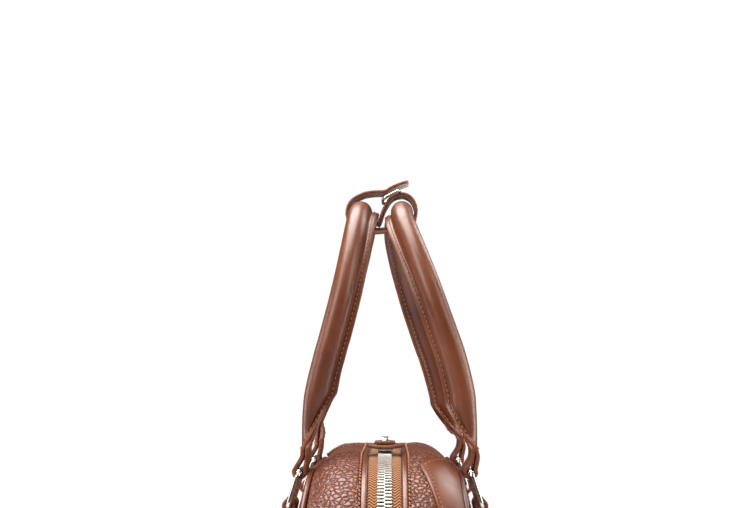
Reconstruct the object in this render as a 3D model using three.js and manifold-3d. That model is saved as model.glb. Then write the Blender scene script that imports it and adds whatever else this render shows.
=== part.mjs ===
// A boston bag in brown leather: a hollow body with a zip over its top, two rolled handles on
// rectangular rings, and a buckled strap that holds the handles together at their tops.
// Millimetres, +Z up. X is the depth of the bag, Y its length, and -Y is the end that faces a
// viewer. The origin is on the floor under the middle of the base.
import * as THREE from "three";
import { mergeVertices } from "three/addons/utils/BufferGeometryUtils.js";
import Module from "manifold-3d";

const wasm = await Module();
wasm.setup();

// Body
const bodyLength = 280;
const bodyHeight = 179;
const topHalfWidth = 47.5;
const baseHalfWidth = 59;
const shoulderRadius = 75;
const footRadius = 28;
const shoulderDrop = 12;
const baseEdgeLift = 3;
const sideBulge = 10;
const leatherWall = 2;
const pieceGap = 0.3;
const seamDistance = 52;

// Piping and zip
const pipingRadius = 2.1;
const chainHalfWidth = 4.1;
const chainThickness = 3;
const tapeHalfWidth = 10.4;
const tapeThickness = 1;
const bindingWidth = 4.2;
const bindingRise = 0.7;
const zipSink = 1.2;
const zipEndHeight = 62;

// Zip pull
const sliderLength = 13;
const sliderWidth = 10.5;
const sliderPlate = 2.2;
const bridgeWidth = 4.6;
const bridgeHeight = 7.6;
const bridgeThickness = 1.3;
const linkWire = 1.5;
const linkWidth = 8.5;
const linkHeight = 5.2;
const pullLift = 2.6;
const pullPlace = -58;
const pullTabWidth = 24;
const pullTabLength = 30;
const pullTabThickness = 2.3;
const pullCapWidth = 13.4;
const pullCapLength = 20;
const pullCapThickness = 1.9;

// Patches on the end panels
const patchThickness = 1.6;
const patchClearance = 0.6;

// Handles
const handleSpacing = 124;
const handleRise = 179;
const tubeRadius = 8;
const flangeWidth = 5;
const flangeThickness = 3;
const strapWidth = 26;
const strapThickness = 2.6;
const archHeight = 92;
const handleFootRise = 13;
const leftRollStart = 37;
const rightRollStart = 28;
const rollEase = 1.3;
const leftFootInset = 8.5;
const rightFootInset = 2.5;
const leftTopReach = 17.5;
const rightTopReach = 12.5;
const leftFarSway = 7;
const rightFarSway = 7;
const leftFlangeTurn = 10;
const rightFlangeTurn = 24;

// Rings and the tabs that hold them
const ringWire = 3.6;
const ringHeight = 22;
const ringWidth = 31;
const ringCorner = 3;
const ringStand = 6.4;
const ringDrop = 11;
const ringClearance = 0.5;
const chapeWidth = 25;
const chapeThickness = 2.2;
const chapeLength = 36;
const chapeClearance = 0.7;
const chapeOpening = 25;

// Keeper strap and buckle
const keeperWidth = 17;
const keeperThickness = 2.4;
const keeperClearance = 0.4;
const buckleLength = 16;
const buckleWidth = 23;
const buckleWire = 2.2;
const buckleCorner = 2.4;
const prongWidth = 2.4;
const prongThickness = 1.2;

// The handle's lean: how far it has come from its foot to its top, by share of its rise.
const handleLean = [
  { rise: 0, left: 0, right: 0 },
  { rise: 0.14, left: 0, right: 0 },
  { rise: 0.24, left: 0.06, right: 0.03 },
  { rise: 0.37, left: 0.25, right: 0.17 },
  { rise: 0.53, left: 0.51, right: 0.4 },
  { rise: 0.68, left: 0.71, right: 0.61 },
  { rise: 0.81, left: 0.86, right: 0.8 },
  { rise: 0.94, left: 0.97, right: 0.97 },
  { rise: 1, left: 1, right: 1 },
];

// The keeper strap's route, from its tip to its other end: polar places about the two handle tops,
// whose reach is a share of the radius at which the strap lies on the handle.
const keeperRoute = [
  { about: "right", angle: 78, reach: 2.36 },
  { about: "right", angle: 96, reach: 2.09 },
  { about: "right", angle: 114, reach: 2 },
  { about: "left", angle: 40, reach: 2.4 },
  { about: "left", angle: 55, reach: 1.83 },
  { about: "left", angle: 76, reach: 1.45 },
  { about: "left", angle: 101, reach: 1.19 },
  { about: "left", angle: 131, reach: 1.1 },
  { about: "left", angle: 163, reach: 1.05 },
  { about: "left", angle: 194, reach: 1.08 },
  { about: "left", angle: 228, reach: 1.11 },
  { about: "left", angle: 266, reach: 1.05 },
  { about: "left", angle: 296, reach: 1.3 },
  { about: "left", angle: 311, reach: 1.75 },
  { about: "right", angle: 232, reach: 1.55 },
  { about: "right", angle: 250, reach: 1.22 },
  { about: "right", angle: 279, reach: 1.08 },
  { about: "right", angle: 313, reach: 1.09 },
  { about: "right", angle: 348, reach: 1.04 },
  { about: "right", angle: 20, reach: 1.08 },
  { about: "right", angle: 54, reach: 1.22 },
  { about: "right", angle: 83, reach: 1.33 },
  { about: "right", angle: 110, reach: 1.34 },
  { about: "right", angle: 133, reach: 1.32 },
  { about: "right", angle: 154, reach: 1.3 },
  { about: "right", angle: 174, reach: 1.4 },
  { about: "right", angle: 190, reach: 1.58 },
  { about: "right", angle: 202, reach: 1.82 },
  { about: "right", angle: 207, reach: 2.08 },
];

// The smooth patches beside the zip on an end panel: the top corner at the patch's inner edge and
// at the seam, and the foot, by share of the seam's way from crest to base, and the inner edge by
// share of the panel's half width.
const patches = [
  { side: 1, inner: [0.46, 0.76, 0.88], top: [0.175, 0.05], foot: 0.67 },
  { side: -1, inner: [0.72, 0.8, 0.9], top: [0.345, 0.3], foot: 0.76 },
];

// Colours and finishes
const grainLeather = { color: 0x7a4634, roughness: 0.55, metalness: 0 };
const smoothLeather = { color: 0x8a503a, roughness: 0.4, metalness: 0 };
const edgeLeather = { color: 0x6f3a29, roughness: 0.5, metalness: 0 };
const tapeCloth = { color: 0xae7b55, roughness: 0.9, metalness: 0 };
const silver = { color: 0xd8d6d2, roughness: 0.2, metalness: 1 };

const bag = new THREE.Group();
const topFlatHalf = bodyLength / 2 - shoulderRadius;
const shoulderArc = (shoulderRadius * Math.PI) / 2;
const endStraight = bodyHeight - shoulderRadius - footRadius;
const footArc = (footRadius * Math.PI) / 2;
const footDistance = topFlatHalf + shoulderArc + endStraight + footArc;
const baseHalfLength = bodyLength / 2 - footRadius;
const outlineHalf = footDistance + baseHalfLength;

function addPiece(name, geometry, finish, parent = bag) {
  const mesh = new THREE.Mesh(geometry, new THREE.MeshStandardMaterial(finish));
  mesh.name = name;
  parent.add(mesh);
  return mesh;
}

function mix(a, b, share) {
  return a + (b - a) * share;
}

function smooth(share) {
  const s = Math.min(1, Math.max(0, share));
  return s * s * (3 - 2 * s);
}

// A geometry from points and triangles, turned so that its faces point out.
function closedGeometry(points, triangles) {
  let volume = 0;
  const product = new THREE.Vector3();
  for (const [a, b, c] of triangles) {
    product.crossVectors(points[b], points[c]);
    volume += points[a].dot(product);
  }
  const ordered = volume < 0 ? triangles.map(([a, b, c]) => [a, c, b]) : triangles;
  const geometry = new THREE.BufferGeometry().setFromPoints(points);
  geometry.setIndex(ordered.flat());
  return geometry;
}

function solidOf(geometry) {
  const bare = geometry.clone();
  bare.deleteAttribute("normal");
  bare.deleteAttribute("uv");
  const merged = mergeVertices(bare, 1e-3);
  return new wasm.Manifold(
    new wasm.Mesh({
      numProp: 3,
      vertProperties: merged.attributes.position.array,
      triVerts: new Uint32Array(merged.index.array),
    }),
  );
}

function geometryOf(solid) {
  const mesh = solid.getMesh();
  const geometry = new THREE.BufferGeometry();
  geometry.setAttribute("position", new THREE.BufferAttribute(mesh.vertProperties, 3));
  geometry.setIndex(new THREE.BufferAttribute(mesh.triVerts, 1));
  return geometry;
}

// The bag's outline in the plane of its length: a place and the way out, by the distance along the
// outline from the middle of the top. A negative distance runs to the near end.
function outlineAt(distance) {
  const side = distance < 0 ? -1 : 1;
  let rest = Math.abs(distance);
  if (rest < topFlatHalf) {
    return { y: side * rest, z: bodyHeight, outY: 0, outZ: 1 };
  }
  rest -= topFlatHalf;
  if (rest < shoulderArc) {
    const turn = rest / shoulderRadius;
    return {
      y: side * (topFlatHalf + shoulderRadius * Math.sin(turn)),
      z: bodyHeight - shoulderRadius + shoulderRadius * Math.cos(turn),
      outY: side * Math.sin(turn),
      outZ: Math.cos(turn),
    };
  }
  rest -= shoulderArc;
  if (rest < endStraight) {
    return { y: (side * bodyLength) / 2, z: bodyHeight - shoulderRadius - rest, outY: side, outZ: 0 };
  }
  rest -= endStraight;
  if (rest < footArc) {
    const turn = rest / footRadius;
    return {
      y: side * (baseHalfLength + footRadius * Math.cos(turn)),
      z: footRadius - footRadius * Math.sin(turn),
      outY: side * Math.cos(turn),
      outZ: -Math.sin(turn),
    };
  }
  rest -= footArc;
  return { y: side * (baseHalfLength - rest), z: 0, outY: 0, outZ: -1 };
}

// Half the bag's depth at the seams, by height.
function halfWidthAt(z) {
  const rise = Math.max(0, z) / bodyHeight;
  return mix(baseHalfWidth, topHalfWidth, Math.pow(rise, 1.5));
}

// How far the band's surface has rounded off towards its seams.
function crownDrop(x, z) {
  const share = Math.min(1, Math.abs(x) / halfWidthAt(z));
  const high = smooth(z / (2 * footRadius));
  const flat = mix(0.84, 0.3, high);
  const drop = mix(baseEdgeLift, shoulderDrop, high);
  const past = Math.max(0, (share - flat) / (1 - flat));
  return drop * Math.pow(past, mix(1.5, 2.6, high));
}

// A point on the band that runs round the bag between its two side panels.
function bandPoint(distance, x, rise = 0) {
  const at = outlineAt(distance);
  const out = rise - crownDrop(x, at.z);
  return new THREE.Vector3(x, at.y + at.outY * out, at.z + at.outZ * out);
}

function seamPoint(distance, side) {
  return bandPoint(distance, side * halfWidthAt(outlineAt(distance).z));
}

const bodyCentre = new THREE.Vector3(0, 0, bodyHeight / 2);

// A wall of even thickness under a surface that is given by two shares, 0 to 1.
function wallUnder(surface, rows, columns, thickness) {
  const points = [];
  const inner = [];
  const step = 1e-3;
  for (let i = 0; i <= rows; i += 1) {
    for (let j = 0; j <= columns; j += 1) {
      const u = i / rows;
      const v = j / columns;
      const here = surface(u, v);
      const alongRows = surface(Math.min(1, u + step), v).sub(surface(Math.max(0, u - step), v));
      const alongColumns = surface(u, Math.min(1, v + step)).sub(surface(u, Math.max(0, v - step)));
      const out = alongRows.cross(alongColumns).normalize();
      if (out.dot(here.clone().sub(bodyCentre)) < 0) {
        out.negate();
      }
      points.push(here);
      inner.push(here.clone().addScaledVector(out, -thickness));
    }
  }
  const count = points.length;
  const width = columns + 1;
  const triangles = [];
  const addQuad = (a, b, c, d) => triangles.push([a, b, c], [a, c, d]);
  for (let i = 0; i < rows; i += 1) {
    for (let j = 0; j < columns; j += 1) {
      const a = i * width + j;
      addQuad(a, a + 1, a + width + 1, a + width);
      addQuad(count + a, count + a + width, count + a + width + 1, count + a + 1);
    }
  }
  for (let j = 0; j < columns; j += 1) {
    const last = rows * width + j;
    addQuad(j, count + j, count + j + 1, j + 1);
    addQuad(last, last + 1, count + last + 1, count + last);
  }
  for (let i = 0; i < rows; i += 1) {
    const first = i * width;
    const end = first + columns;
    addQuad(first, first + width, count + first + width, count + first);
    addQuad(end, count + end, count + end + width, end + width);
  }
  return closedGeometry([...points, ...inner], triangles);
}

// A tube through rings of points with the same count; its ends are closed with flat fans, or it
// closes on itself.
function skin(rings, closed = false) {
  const sides = rings[0].length;
  const triangles = [];
  const spans = closed ? rings.length : rings.length - 1;
  for (let i = 0; i < spans; i += 1) {
    const next = ((i + 1) % rings.length) * sides;
    for (let j = 0; j < sides; j += 1) {
      const k = (j + 1) % sides;
      triangles.push([i * sides + j, i * sides + k, next + k]);
      triangles.push([i * sides + j, next + k, next + j]);
    }
  }
  if (!closed) {
    const last = (rings.length - 1) * sides;
    for (let j = 1; j < sides - 1; j += 1) {
      triangles.push([0, j + 1, j]);
      triangles.push([last, last + j, last + j + 1]);
    }
  }
  return closedGeometry(rings.flat(), triangles);
}

// A round wire along a closed loop of points; across is a direction that the loop never runs in.
function wireLoop(points, radius, sides, across) {
  const rings = points.map((point, i) => {
    const next = points[(i + 1) % points.length];
    const before = points[(i - 1 + points.length) % points.length];
    const along = next.clone().sub(before).normalize();
    const first = new THREE.Vector3().crossVectors(along, across).normalize();
    const second = new THREE.Vector3().crossVectors(first, along);
    return Array.from({ length: sides }, (_, j) => {
      const turn = ((j + 0.5) * 2 * Math.PI) / sides;
      return point
        .clone()
        .addScaledVector(first, radius * Math.cos(turn))
        .addScaledVector(second, radius * Math.sin(turn));
    });
  });
  return skin(rings, true);
}

// A shape in the XZ plane, pushed out along Y to a width.
function pushedAlongY(shape, width, middleY) {
  const geometry = new THREE.ExtrudeGeometry(shape, { depth: width, bevelEnabled: false });
  geometry.rotateX(Math.PI / 2);
  geometry.translate(0, middleY + width / 2, 0);
  return geometry;
}

// A strap seen edge on: its route in the XZ plane, given thickness and width.
function strapAlong(route, thickness, width, middleY) {
  const left = [];
  const right = [];
  route.forEach((point, i) => {
    const next = route[Math.min(route.length - 1, i + 1)];
    const before = route[Math.max(0, i - 1)];
    const way = next.clone().sub(before).normalize();
    left.push(new THREE.Vector2(point.x - (way.y * thickness) / 2, point.y + (way.x * thickness) / 2));
    right.push(new THREE.Vector2(point.x + (way.y * thickness) / 2, point.y - (way.x * thickness) / 2));
  });
  return pushedAlongY(new THREE.Shape([...left, ...right.reverse()]), width, middleY);
}

// Side panels: a large dished panel on each side, from the seam to its middle.
const sideCentreHeight = bodyHeight / 2;
const seamInset = pipingRadius + 3 * pieceGap;

// How far out the side panel reaches at a place whose share of the way to the seam is given. Its
// bulge is round at the middle and follows the seam at the rim.
function sidePoint(y, z, share) {
  const round = Math.hypot(y / (bodyLength / 2), (z - sideCentreHeight) / sideCentreHeight);
  const level = mix(Math.min(1, round), share, share);
  return halfWidthAt(z) + sideBulge * (1 - Math.pow(level, 3));
}

function sidePanel(side) {
  const sectors = 32;
  const rings = [1, 0.94, 0.82, 0.62, 0.34];
  const points = [];
  const inner = [];
  const place = (sector, share) => {
    const distance = ((sector / sectors) * 2 - 1) * outlineHalf;
    const seam = seamPoint(distance, 1);
    const at = outlineAt(distance);
    const rimZ = seam.z - at.outZ * seamInset;
    const reach = new THREE.Vector2(seam.y - at.outY * seamInset, rimZ - sideCentreHeight);
    reach.multiplyScalar(share);
    const z = sideCentreHeight + reach.y;
    return new THREE.Vector3(side * sidePoint(reach.x, z, share), reach.x, z);
  };
  for (const share of rings) {
    for (let sector = 0; sector < sectors; sector += 1) {
      const here = place(sector, share);
      points.push(here);
      inner.push(new THREE.Vector3(here.x - side * leatherWall, here.y, here.z));
    }
  }
  const middle = place(0, 0);
  points.push(middle);
  inner.push(new THREE.Vector3(middle.x - side * leatherWall, middle.y, middle.z));
  const count = points.length;
  const triangles = [];
  for (let ring = 0; ring < rings.length - 1; ring += 1) {
    for (let sector = 0; sector < sectors; sector += 1) {
      const a = ring * sectors + sector;
      const b = ring * sectors + ((sector + 1) % sectors);
      triangles.push([a, b, b + sectors], [a, b + sectors, a + sectors]);
      triangles.push([count + a, count + b + sectors, count + b]);
      triangles.push([count + a, count + a + sectors, count + b + sectors]);
    }
  }
  const lastRing = (rings.length - 1) * sectors;
  for (let sector = 0; sector < sectors; sector += 1) {
    const next = (sector + 1) % sectors;
    triangles.push([lastRing + sector, lastRing + next, count - 1]);
    triangles.push([count + lastRing + next, count + lastRing + sector, 2 * count - 1]);
    triangles.push([sector, count + sector, count + next], [sector, count + next, next]);
  }
  return closedGeometry([...points, ...inner], triangles);
}

// The band's pieces keep this much off the seam line, where the piping lies.
const bandEdge = pipingRadius + pieceGap;
const slotHalf = tapeHalfWidth + bindingWidth + pieceGap;

function bandLimit(distance) {
  return halfWidthAt(outlineAt(distance).z) - bandEdge;
}

const zipHalf = topFlatHalf + shoulderArc + (bodyHeight - shoulderRadius - zipEndHeight);

function endPanel(end) {
  const from = end * (seamDistance + pieceGap);
  const to = end * (footDistance - pieceGap);
  const whole = wallUnder(
    (u, v) => {
      const distance = mix(from, to, u);
      return bandPoint(distance, mix(-1, 1, v) * bandLimit(distance));
    },
    16,
    10,
    leatherWall,
  );
  const slot = wallUnder(
    (u, v) => bandPoint(end * mix(seamDistance - 5, zipHalf + pieceGap, u), mix(-1, 1, v) * slotHalf, 4),
    16,
    2,
    12,
  );
  return geometryOf(solidOf(whole).subtract(solidOf(slot)));
}

function topGusset(side) {
  return wallUnder(
    (u, v) => {
      const distance = mix(-seamDistance, seamDistance, u);
      return bandPoint(distance, side * mix(slotHalf, bandLimit(distance), v));
    },
    14,
    5,
    leatherWall,
  );
}

function zipStrip(from, to, rise, thickness, rows, columns = 1) {
  return wallUnder(
    (u, v) => bandPoint(mix(-zipHalf, zipHalf, u), mix(from, to, v), rise),
    rows,
    columns,
    thickness,
  );
}

function basePanel() {
  const halfLength = baseHalfLength - pieceGap;
  return wallUnder(
    (u, v) => {
      const x = mix(-1, 1, v) * (baseHalfWidth - bandEdge);
      return new THREE.Vector3(x, mix(-halfLength, halfLength, u), crownDrop(x, 0));
    },
    1,
    14,
    leatherWall,
  );
}

function piping(side) {
  const steps = 44;
  const points = Array.from({ length: steps }, (_, i) =>
    seamPoint(((i / steps) * 2 - 1) * outlineHalf, side),
  );
  return wireLoop(points, pipingRadius, 5, new THREE.Vector3(1, 0, 0));
}

// The band's way out at a point, square to its surface.
function bandOut(distance, x) {
  const step = 0.5;
  const along = bandPoint(distance + step, x).sub(bandPoint(distance - step, x));
  const across = bandPoint(distance, x + step).sub(bandPoint(distance, x - step));
  const out = along.cross(across).normalize();
  return out.dot(bandPoint(distance, x).sub(bodyCentre)) < 0 ? out.negate() : out;
}

// A patch lies on the end panel, from its inner edge to the seam.
function patch(end, side, row) {
  const way = footDistance - seamDistance;
  return wallUnder(
    (u, v) => {
      const start = mix(row.top[0], row.top[1], v);
      const share = mix(start, row.foot, u);
      const distance = seamDistance + 2 * pieceGap + share * way;
      const early = mix(row.inner[0], row.inner[1], Math.min(1, u * 2));
      const inner = mix(early, row.inner[2], Math.max(0, u * 2 - 1));
      const limit = bandLimit(distance);
      const x = mix(inner * limit, limit, v);
      const lift = patchThickness + patchClearance;
      return bandPoint(end * distance, side * x).addScaledVector(bandOut(end * distance, side * x), lift);
    },
    10,
    4,
    patchThickness,
  );
}

// Handles: the section of a rolled strap with its sewn flange, and the same strap laid flat.
function handleSection(flatness) {
  const half = flangeThickness / 2;
  const tip = tubeRadius + flangeWidth;
  const outer = -tubeRadius;
  const flatInner = outer + strapThickness;
  const edge = strapWidth / 2;
  const arc = [150, 118, 84, 48, 12].map((degrees) => (degrees * Math.PI) / 180);
  const side = (way) => [
    { rolled: [tip, way * half * 0.4], flat: [flatInner, way * edge] },
    { rolled: [tip, way * half], flat: [outer, way * edge] },
    { rolled: [tubeRadius, way * half], flat: [outer, way * edge * 0.8] },
    ...arc.map((turn, i) => ({
      rolled: [-tubeRadius * Math.cos(turn), way * tubeRadius * Math.sin(turn)],
      flat: [outer, (way * edge * (5 - i)) / 8],
    })),
  ];
  const rows = [...side(-1), ...side(1).reverse()];
  return rows.map((row) => [
    mix(row.rolled[0], row.flat[0], flatness),
    mix(row.rolled[1], row.flat[1], flatness),
  ]);
}

function leanAt(rise, key) {
  const after = handleLean.findIndex((row) => row.rise >= rise);
  if (after <= 0) {
    return handleLean[0][key];
  }
  const low = handleLean[after - 1];
  const high = handleLean[after];
  return mix(low[key], high[key], (rise - low.rise) / (high.rise - low.rise));
}

const ringTopHeight = bodyHeight - ringDrop;
const ringTopReach = halfWidthAt(ringTopHeight) + ringStand;
const handleFoot = ringTopHeight + handleFootRise;
const tubeTopHeight = bodyHeight + handleRise - tubeRadius;

function footReachOf(side) {
  return ringTopReach - (side < 0 ? leftFootInset : rightFootInset);
}

// The middle of a handle's tube, from its near foot over the arch to its far foot.
function handlePath(side) {
  const key = side < 0 ? "left" : "right";
  const topReach = side < 0 ? leftTopReach : rightTopReach;
  const footReach = footReachOf(side);
  const farSway = side < 0 ? leftFarSway : rightFarSway;
  const legTop = tubeTopHeight - archHeight;
  const legShares = [0, 0.12, 0.24, 0.36, 0.48, 0.66, 0.84];
  const flat = [];
  for (const share of legShares) {
    flat.push([-handleSpacing / 2, mix(handleFoot, legTop, share)]);
  }
  const archSteps = 12;
  for (let i = 0; i <= archSteps; i += 1) {
    const turn = (i / archSteps) * Math.PI;
    flat.push([(-handleSpacing / 2) * Math.cos(turn), legTop + archHeight * Math.sin(turn)]);
  }
  for (const share of [...legShares].reverse()) {
    flat.push([handleSpacing / 2, mix(handleFoot, legTop, share)]);
  }
  return flat.map(([y, z]) => {
    const rise = (z - handleFoot) / (tubeTopHeight - handleFoot);
    const lean = mix(footReach, topReach, leanAt(rise, key));
    const swayShare = Math.sqrt(Math.max(0, 4 * rise * (1 - rise))) * (0.5 + y / handleSpacing);
    return new THREE.Vector3(side * lean - farSway * swayShare, y, z);
  });
}

function handleRoll(side) {
  const path = handlePath(side);
  const turnIn = (side < 0 ? leftFlangeTurn : rightFlangeTurn) * (Math.PI / 180);
  const rollStart = side < 0 ? leftRollStart : rightRollStart;
  const rings = path.map((point, i) => {
    const next = path[Math.min(path.length - 1, i + 1)];
    const before = path[Math.max(0, i - 1)];
    const along = next.clone().sub(before).normalize();
    const inward = new THREE.Vector3(-side, 0, 0);
    inward.addScaledVector(along, -inward.dot(along)).normalize();
    const across = new THREE.Vector3().crossVectors(along, inward).normalize();
    const under = new THREE.Vector3(0, -Math.sign(point.y) || 0, -1);
    const below = across.dot(under) < 0 ? across.clone().negate() : across;
    const rolled = Math.min(1, Math.max(0, (point.z - handleFoot - 2) / rollStart));
    const flatness = Math.pow(1 - rolled, rollEase);
    const turn = turnIn * (1 - flatness);
    const flange = inward.clone().multiplyScalar(Math.cos(turn)).addScaledVector(below, Math.sin(turn));
    const wide = new THREE.Vector3().crossVectors(along, flange).normalize();
    return handleSection(flatness).map(([s, b]) =>
      point.clone().addScaledVector(flange, s).addScaledVector(wide, b),
    );
  });
  return skin(rings);
}

// The strap's end folds round the ring's upper bar and comes back up inside.
function handleLoop(side, middleY) {
  const bend = ringWire / 2 + ringClearance + strapThickness / 2;
  const outerStart = footReachOf(side) + tubeRadius - strapThickness / 2;
  const loopTop = handleFoot - 0.3 * handleFootRise;
  const bar = new THREE.Vector2(ringTopReach, ringTopHeight);
  const points = [new THREE.Vector2(outerStart, handleFoot + 1)];
  points.push(new THREE.Vector2(outerStart + 2 * pieceGap, loopTop));
  for (let i = 0; i <= 10; i += 1) {
    const turn = (25 - i * 23) * (Math.PI / 180);
    points.push(new THREE.Vector2(bar.x + bend * Math.cos(turn), bar.y + bend * Math.sin(turn)));
  }
  const innerEnd = outerStart - strapThickness - pieceGap;
  points.push(new THREE.Vector2(innerEnd, loopTop));
  points.push(new THREE.Vector2(innerEnd, handleFoot + 0.45 * handleFootRise));
  const route = points.map((point) => new THREE.Vector2(side * point.x, point.y));
  return strapAlong(route, strapThickness, strapWidth, middleY);
}

function handle(side) {
  let solid = solidOf(handleRoll(side));
  for (const middleY of [-handleSpacing / 2, handleSpacing / 2]) {
    solid = solid.add(solidOf(handleLoop(side, middleY)));
  }
  return geometryOf(solid);
}

// How far out the side panel reaches beside a place on it.
function sideReachAt(y, z) {
  const seamTop = bodyHeight - shoulderDrop - sideCentreHeight;
  const up = Math.abs(z - sideCentreHeight) / seamTop;
  const along = Math.abs(y) / (bodyLength / 2 - shoulderDrop);
  const share = Math.min(1, Math.pow(Math.pow(up, 3) + Math.pow(along, 3), 1 / 3));
  return sidePoint(y, z, share);
}

// The rings lean out so far that their lower bars clear the tabs' inner layer on the side panel.
const chapeInnerY = (handleSpacing - chapeWidth) / 2;
const ringBarReach =
  sideReachAt(chapeInnerY, ringTopHeight - ringHeight) +
  chapeClearance +
  chapeThickness +
  ringClearance +
  ringWire / 2;
const ringLean = Math.asin((ringBarReach - ringTopReach) / ringHeight);

// Rings: rounded rectangles of wire that lean out with the side of the bag.
function ring(side, middleY) {
  const steps = 3;
  const points = [];
  for (const [signY, signZ, start] of [
    [1, 1, 0],
    [-1, 1, 90],
    [-1, -1, 180],
    [1, -1, 270],
  ]) {
    for (let i = 0; i <= steps; i += 1) {
      const turn = ((start + (i * 90) / steps) * Math.PI) / 180;
      const y = signY * (ringWidth / 2 - ringCorner) + ringCorner * Math.cos(turn);
      const up = signZ * (ringHeight / 2 - ringCorner) + ringCorner * Math.sin(turn);
      const down = ringHeight / 2 - up;
      points.push(
        new THREE.Vector3(
          side * (ringTopReach + down * Math.sin(ringLean)),
          middleY + y,
          ringTopHeight - down * Math.cos(ringLean),
        ),
      );
    }
  }
  const across = new THREE.Vector3(side * Math.cos(ringLean), 0, Math.sin(ringLean));
  return wireLoop(points, ringWire / 2, 8, across);
}

// The tab on the bag's side: its two layers lie on the panel and part round the ring's lower bar.
function chape(side, middleY) {
  const eye = ringWire / 2 + ringClearance;
  const barX = ringTopReach + ringHeight * Math.sin(ringLean);
  const barZ = ringTopHeight - ringHeight * Math.cos(ringLean);
  const neck = barZ - 2 * chapeThickness - 1;
  const inner = [0, 0.33, 0.67, 1].map((share) => {
    const z = mix(barZ - chapeLength, neck, share);
    return new THREE.Vector2(sideReachAt(chapeInnerY, z) + chapeClearance, z);
  });
  const outer = inner.map((point) => new THREE.Vector2(point.x + 2 * chapeThickness, point.y));
  const around = (radius, from, to, steps) =>
    Array.from({ length: steps + 1 }, (_, i) => {
      const turn = (mix(from, to, i / steps) * Math.PI) / 180;
      return new THREE.Vector2(barX + radius * Math.cos(turn), barZ + radius * Math.sin(turn));
    });
  const turned = (points) => points.map((point) => new THREE.Vector2(side * point.x, point.y));
  const loop = around(eye + chapeThickness, 180 + chapeOpening, -chapeOpening, 9);
  const shape = new THREE.Shape(turned([...inner, ...loop, ...outer.reverse()]));
  shape.holes.push(new THREE.Path(turned(around(eye, 0, 324, 9))));
  return pushedAlongY(shape, chapeWidth, middleY);
}

// The keeper strap winds round both handles at the top of their arches.
const handleTops = {
  left: new THREE.Vector2(-leftTopReach, tubeTopHeight),
  right: new THREE.Vector2(rightTopReach, tubeTopHeight),
};
const keeperRadius = tubeRadius + keeperClearance + keeperThickness / 2;

// The arch falls by this much at the keeper strap's edges, so the strap's lower run lies lower.
const keeperFall = archHeight * (1 - Math.sqrt(1 - (keeperWidth / handleSpacing) ** 2)) + keeperClearance;

function keeperPoint(row) {
  const turn = (row.angle * Math.PI) / 180;
  const reach = row.reach * keeperRadius;
  const top = handleTops[row.about];
  const fall = keeperFall * Math.max(0, -Math.sin(turn));
  return new THREE.Vector2(top.x + reach * Math.cos(turn), top.y + reach * Math.sin(turn) - fall);
}

function keeperStrap() {
  const curve = new THREE.SplineCurve(keeperRoute.map(keeperPoint));
  const route = curve.getSpacedPoints(50);
  return strapAlong(route, keeperThickness, keeperWidth, 0);
}

// The buckle lies between the strap's upper run and its turn round the right handle.
function buckle() {
  const low = keeperPoint({ about: "right", angle: 151, reach: 1.77 });
  const high = keeperPoint({ about: "right", angle: 94, reach: 1.64 });
  const group = new THREE.Group();
  const middle = low.clone().add(high).multiplyScalar(0.5);
  group.position.set(middle.x, 0, middle.y);
  group.rotation.y = -Math.atan2(high.y - low.y, high.x - low.x);
  const half = buckleLength / 2 - buckleWire / 2;
  const halfAcross = buckleWidth / 2 - buckleWire / 2;
  const points = [];
  for (const [signX, signY, start] of [
    [1, 1, 0],
    [-1, 1, 90],
    [-1, -1, 180],
    [1, -1, 270],
  ]) {
    for (let i = 0; i <= 2; i += 1) {
      const turn = ((start + i * 45) * Math.PI) / 180;
      points.push(
        new THREE.Vector3(
          signX * (half - buckleCorner) + buckleCorner * Math.cos(turn),
          signY * (halfAcross - buckleCorner) + buckleCorner * Math.sin(turn),
          0,
        ),
      );
    }
  }
  addPiece("buckle_frame", wireLoop(points, buckleWire / 2, 8, new THREE.Vector3(0, 0, 1)), silver, group);
  const prongLength = 2 * half - buckleWire - 2 * pieceGap;
  const prong = new THREE.BoxGeometry(prongLength, prongWidth, prongThickness);
  addPiece("buckle_prong", prong, silver, group).position.z = buckleWire / 2;
  return group;
}

// Zip pull: the slider on the chain, a leather tab that lies on the zip, a smaller piece and a stud.
function tongue(width, length, thickness, round) {
  const shape = new THREE.Shape();
  const half = width / 2;
  shape.moveTo(-half * 0.62, length / 2);
  shape.lineTo(-half, -length / 2 + round);
  shape.quadraticCurveTo(-half, -length / 2 + 1, -half * 0.5, -length / 2 + 0.4);
  shape.quadraticCurveTo(0, -length / 2 - 0.6, half * 0.5, -length / 2 + 0.4);
  shape.quadraticCurveTo(half, -length / 2 + 1, half, -length / 2 + round);
  shape.lineTo(half * 0.62, length / 2);
  shape.closePath();
  return new THREE.ExtrudeGeometry(shape, { depth: thickness, bevelEnabled: false, curveSegments: 5 });
}

function zipPull() {
  const group = new THREE.Group();
  const at = outlineAt(pullPlace);
  group.position.set(0, at.y, at.z);
  group.rotation.x = Math.atan2(-at.outY, at.outZ) * 0.9;
  const tabLift = bindingRise + pullLift;
  addPiece("pull_tab", tongue(pullTabWidth, pullTabLength, pullTabThickness, 7), smoothLeather, group)
    .position.set(0, 0, tabLift);
  const capLift = tabLift + pullTabThickness + pieceGap;
  const capShift = (pullTabLength - pullCapLength) / 2;
  addPiece("pull_cap", tongue(pullCapWidth, pullCapLength, pullCapThickness, 4), smoothLeather, group)
    .position.set(0, capShift, capLift);
  return group;
}

// The slider is a plate on the chain with a bridge, through which the pull's link passes.
const linkReach = 2 * linkWire;
const sliderY = pullPlace + pullTabLength / 2 + sliderLength / 2 + linkReach;

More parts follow.
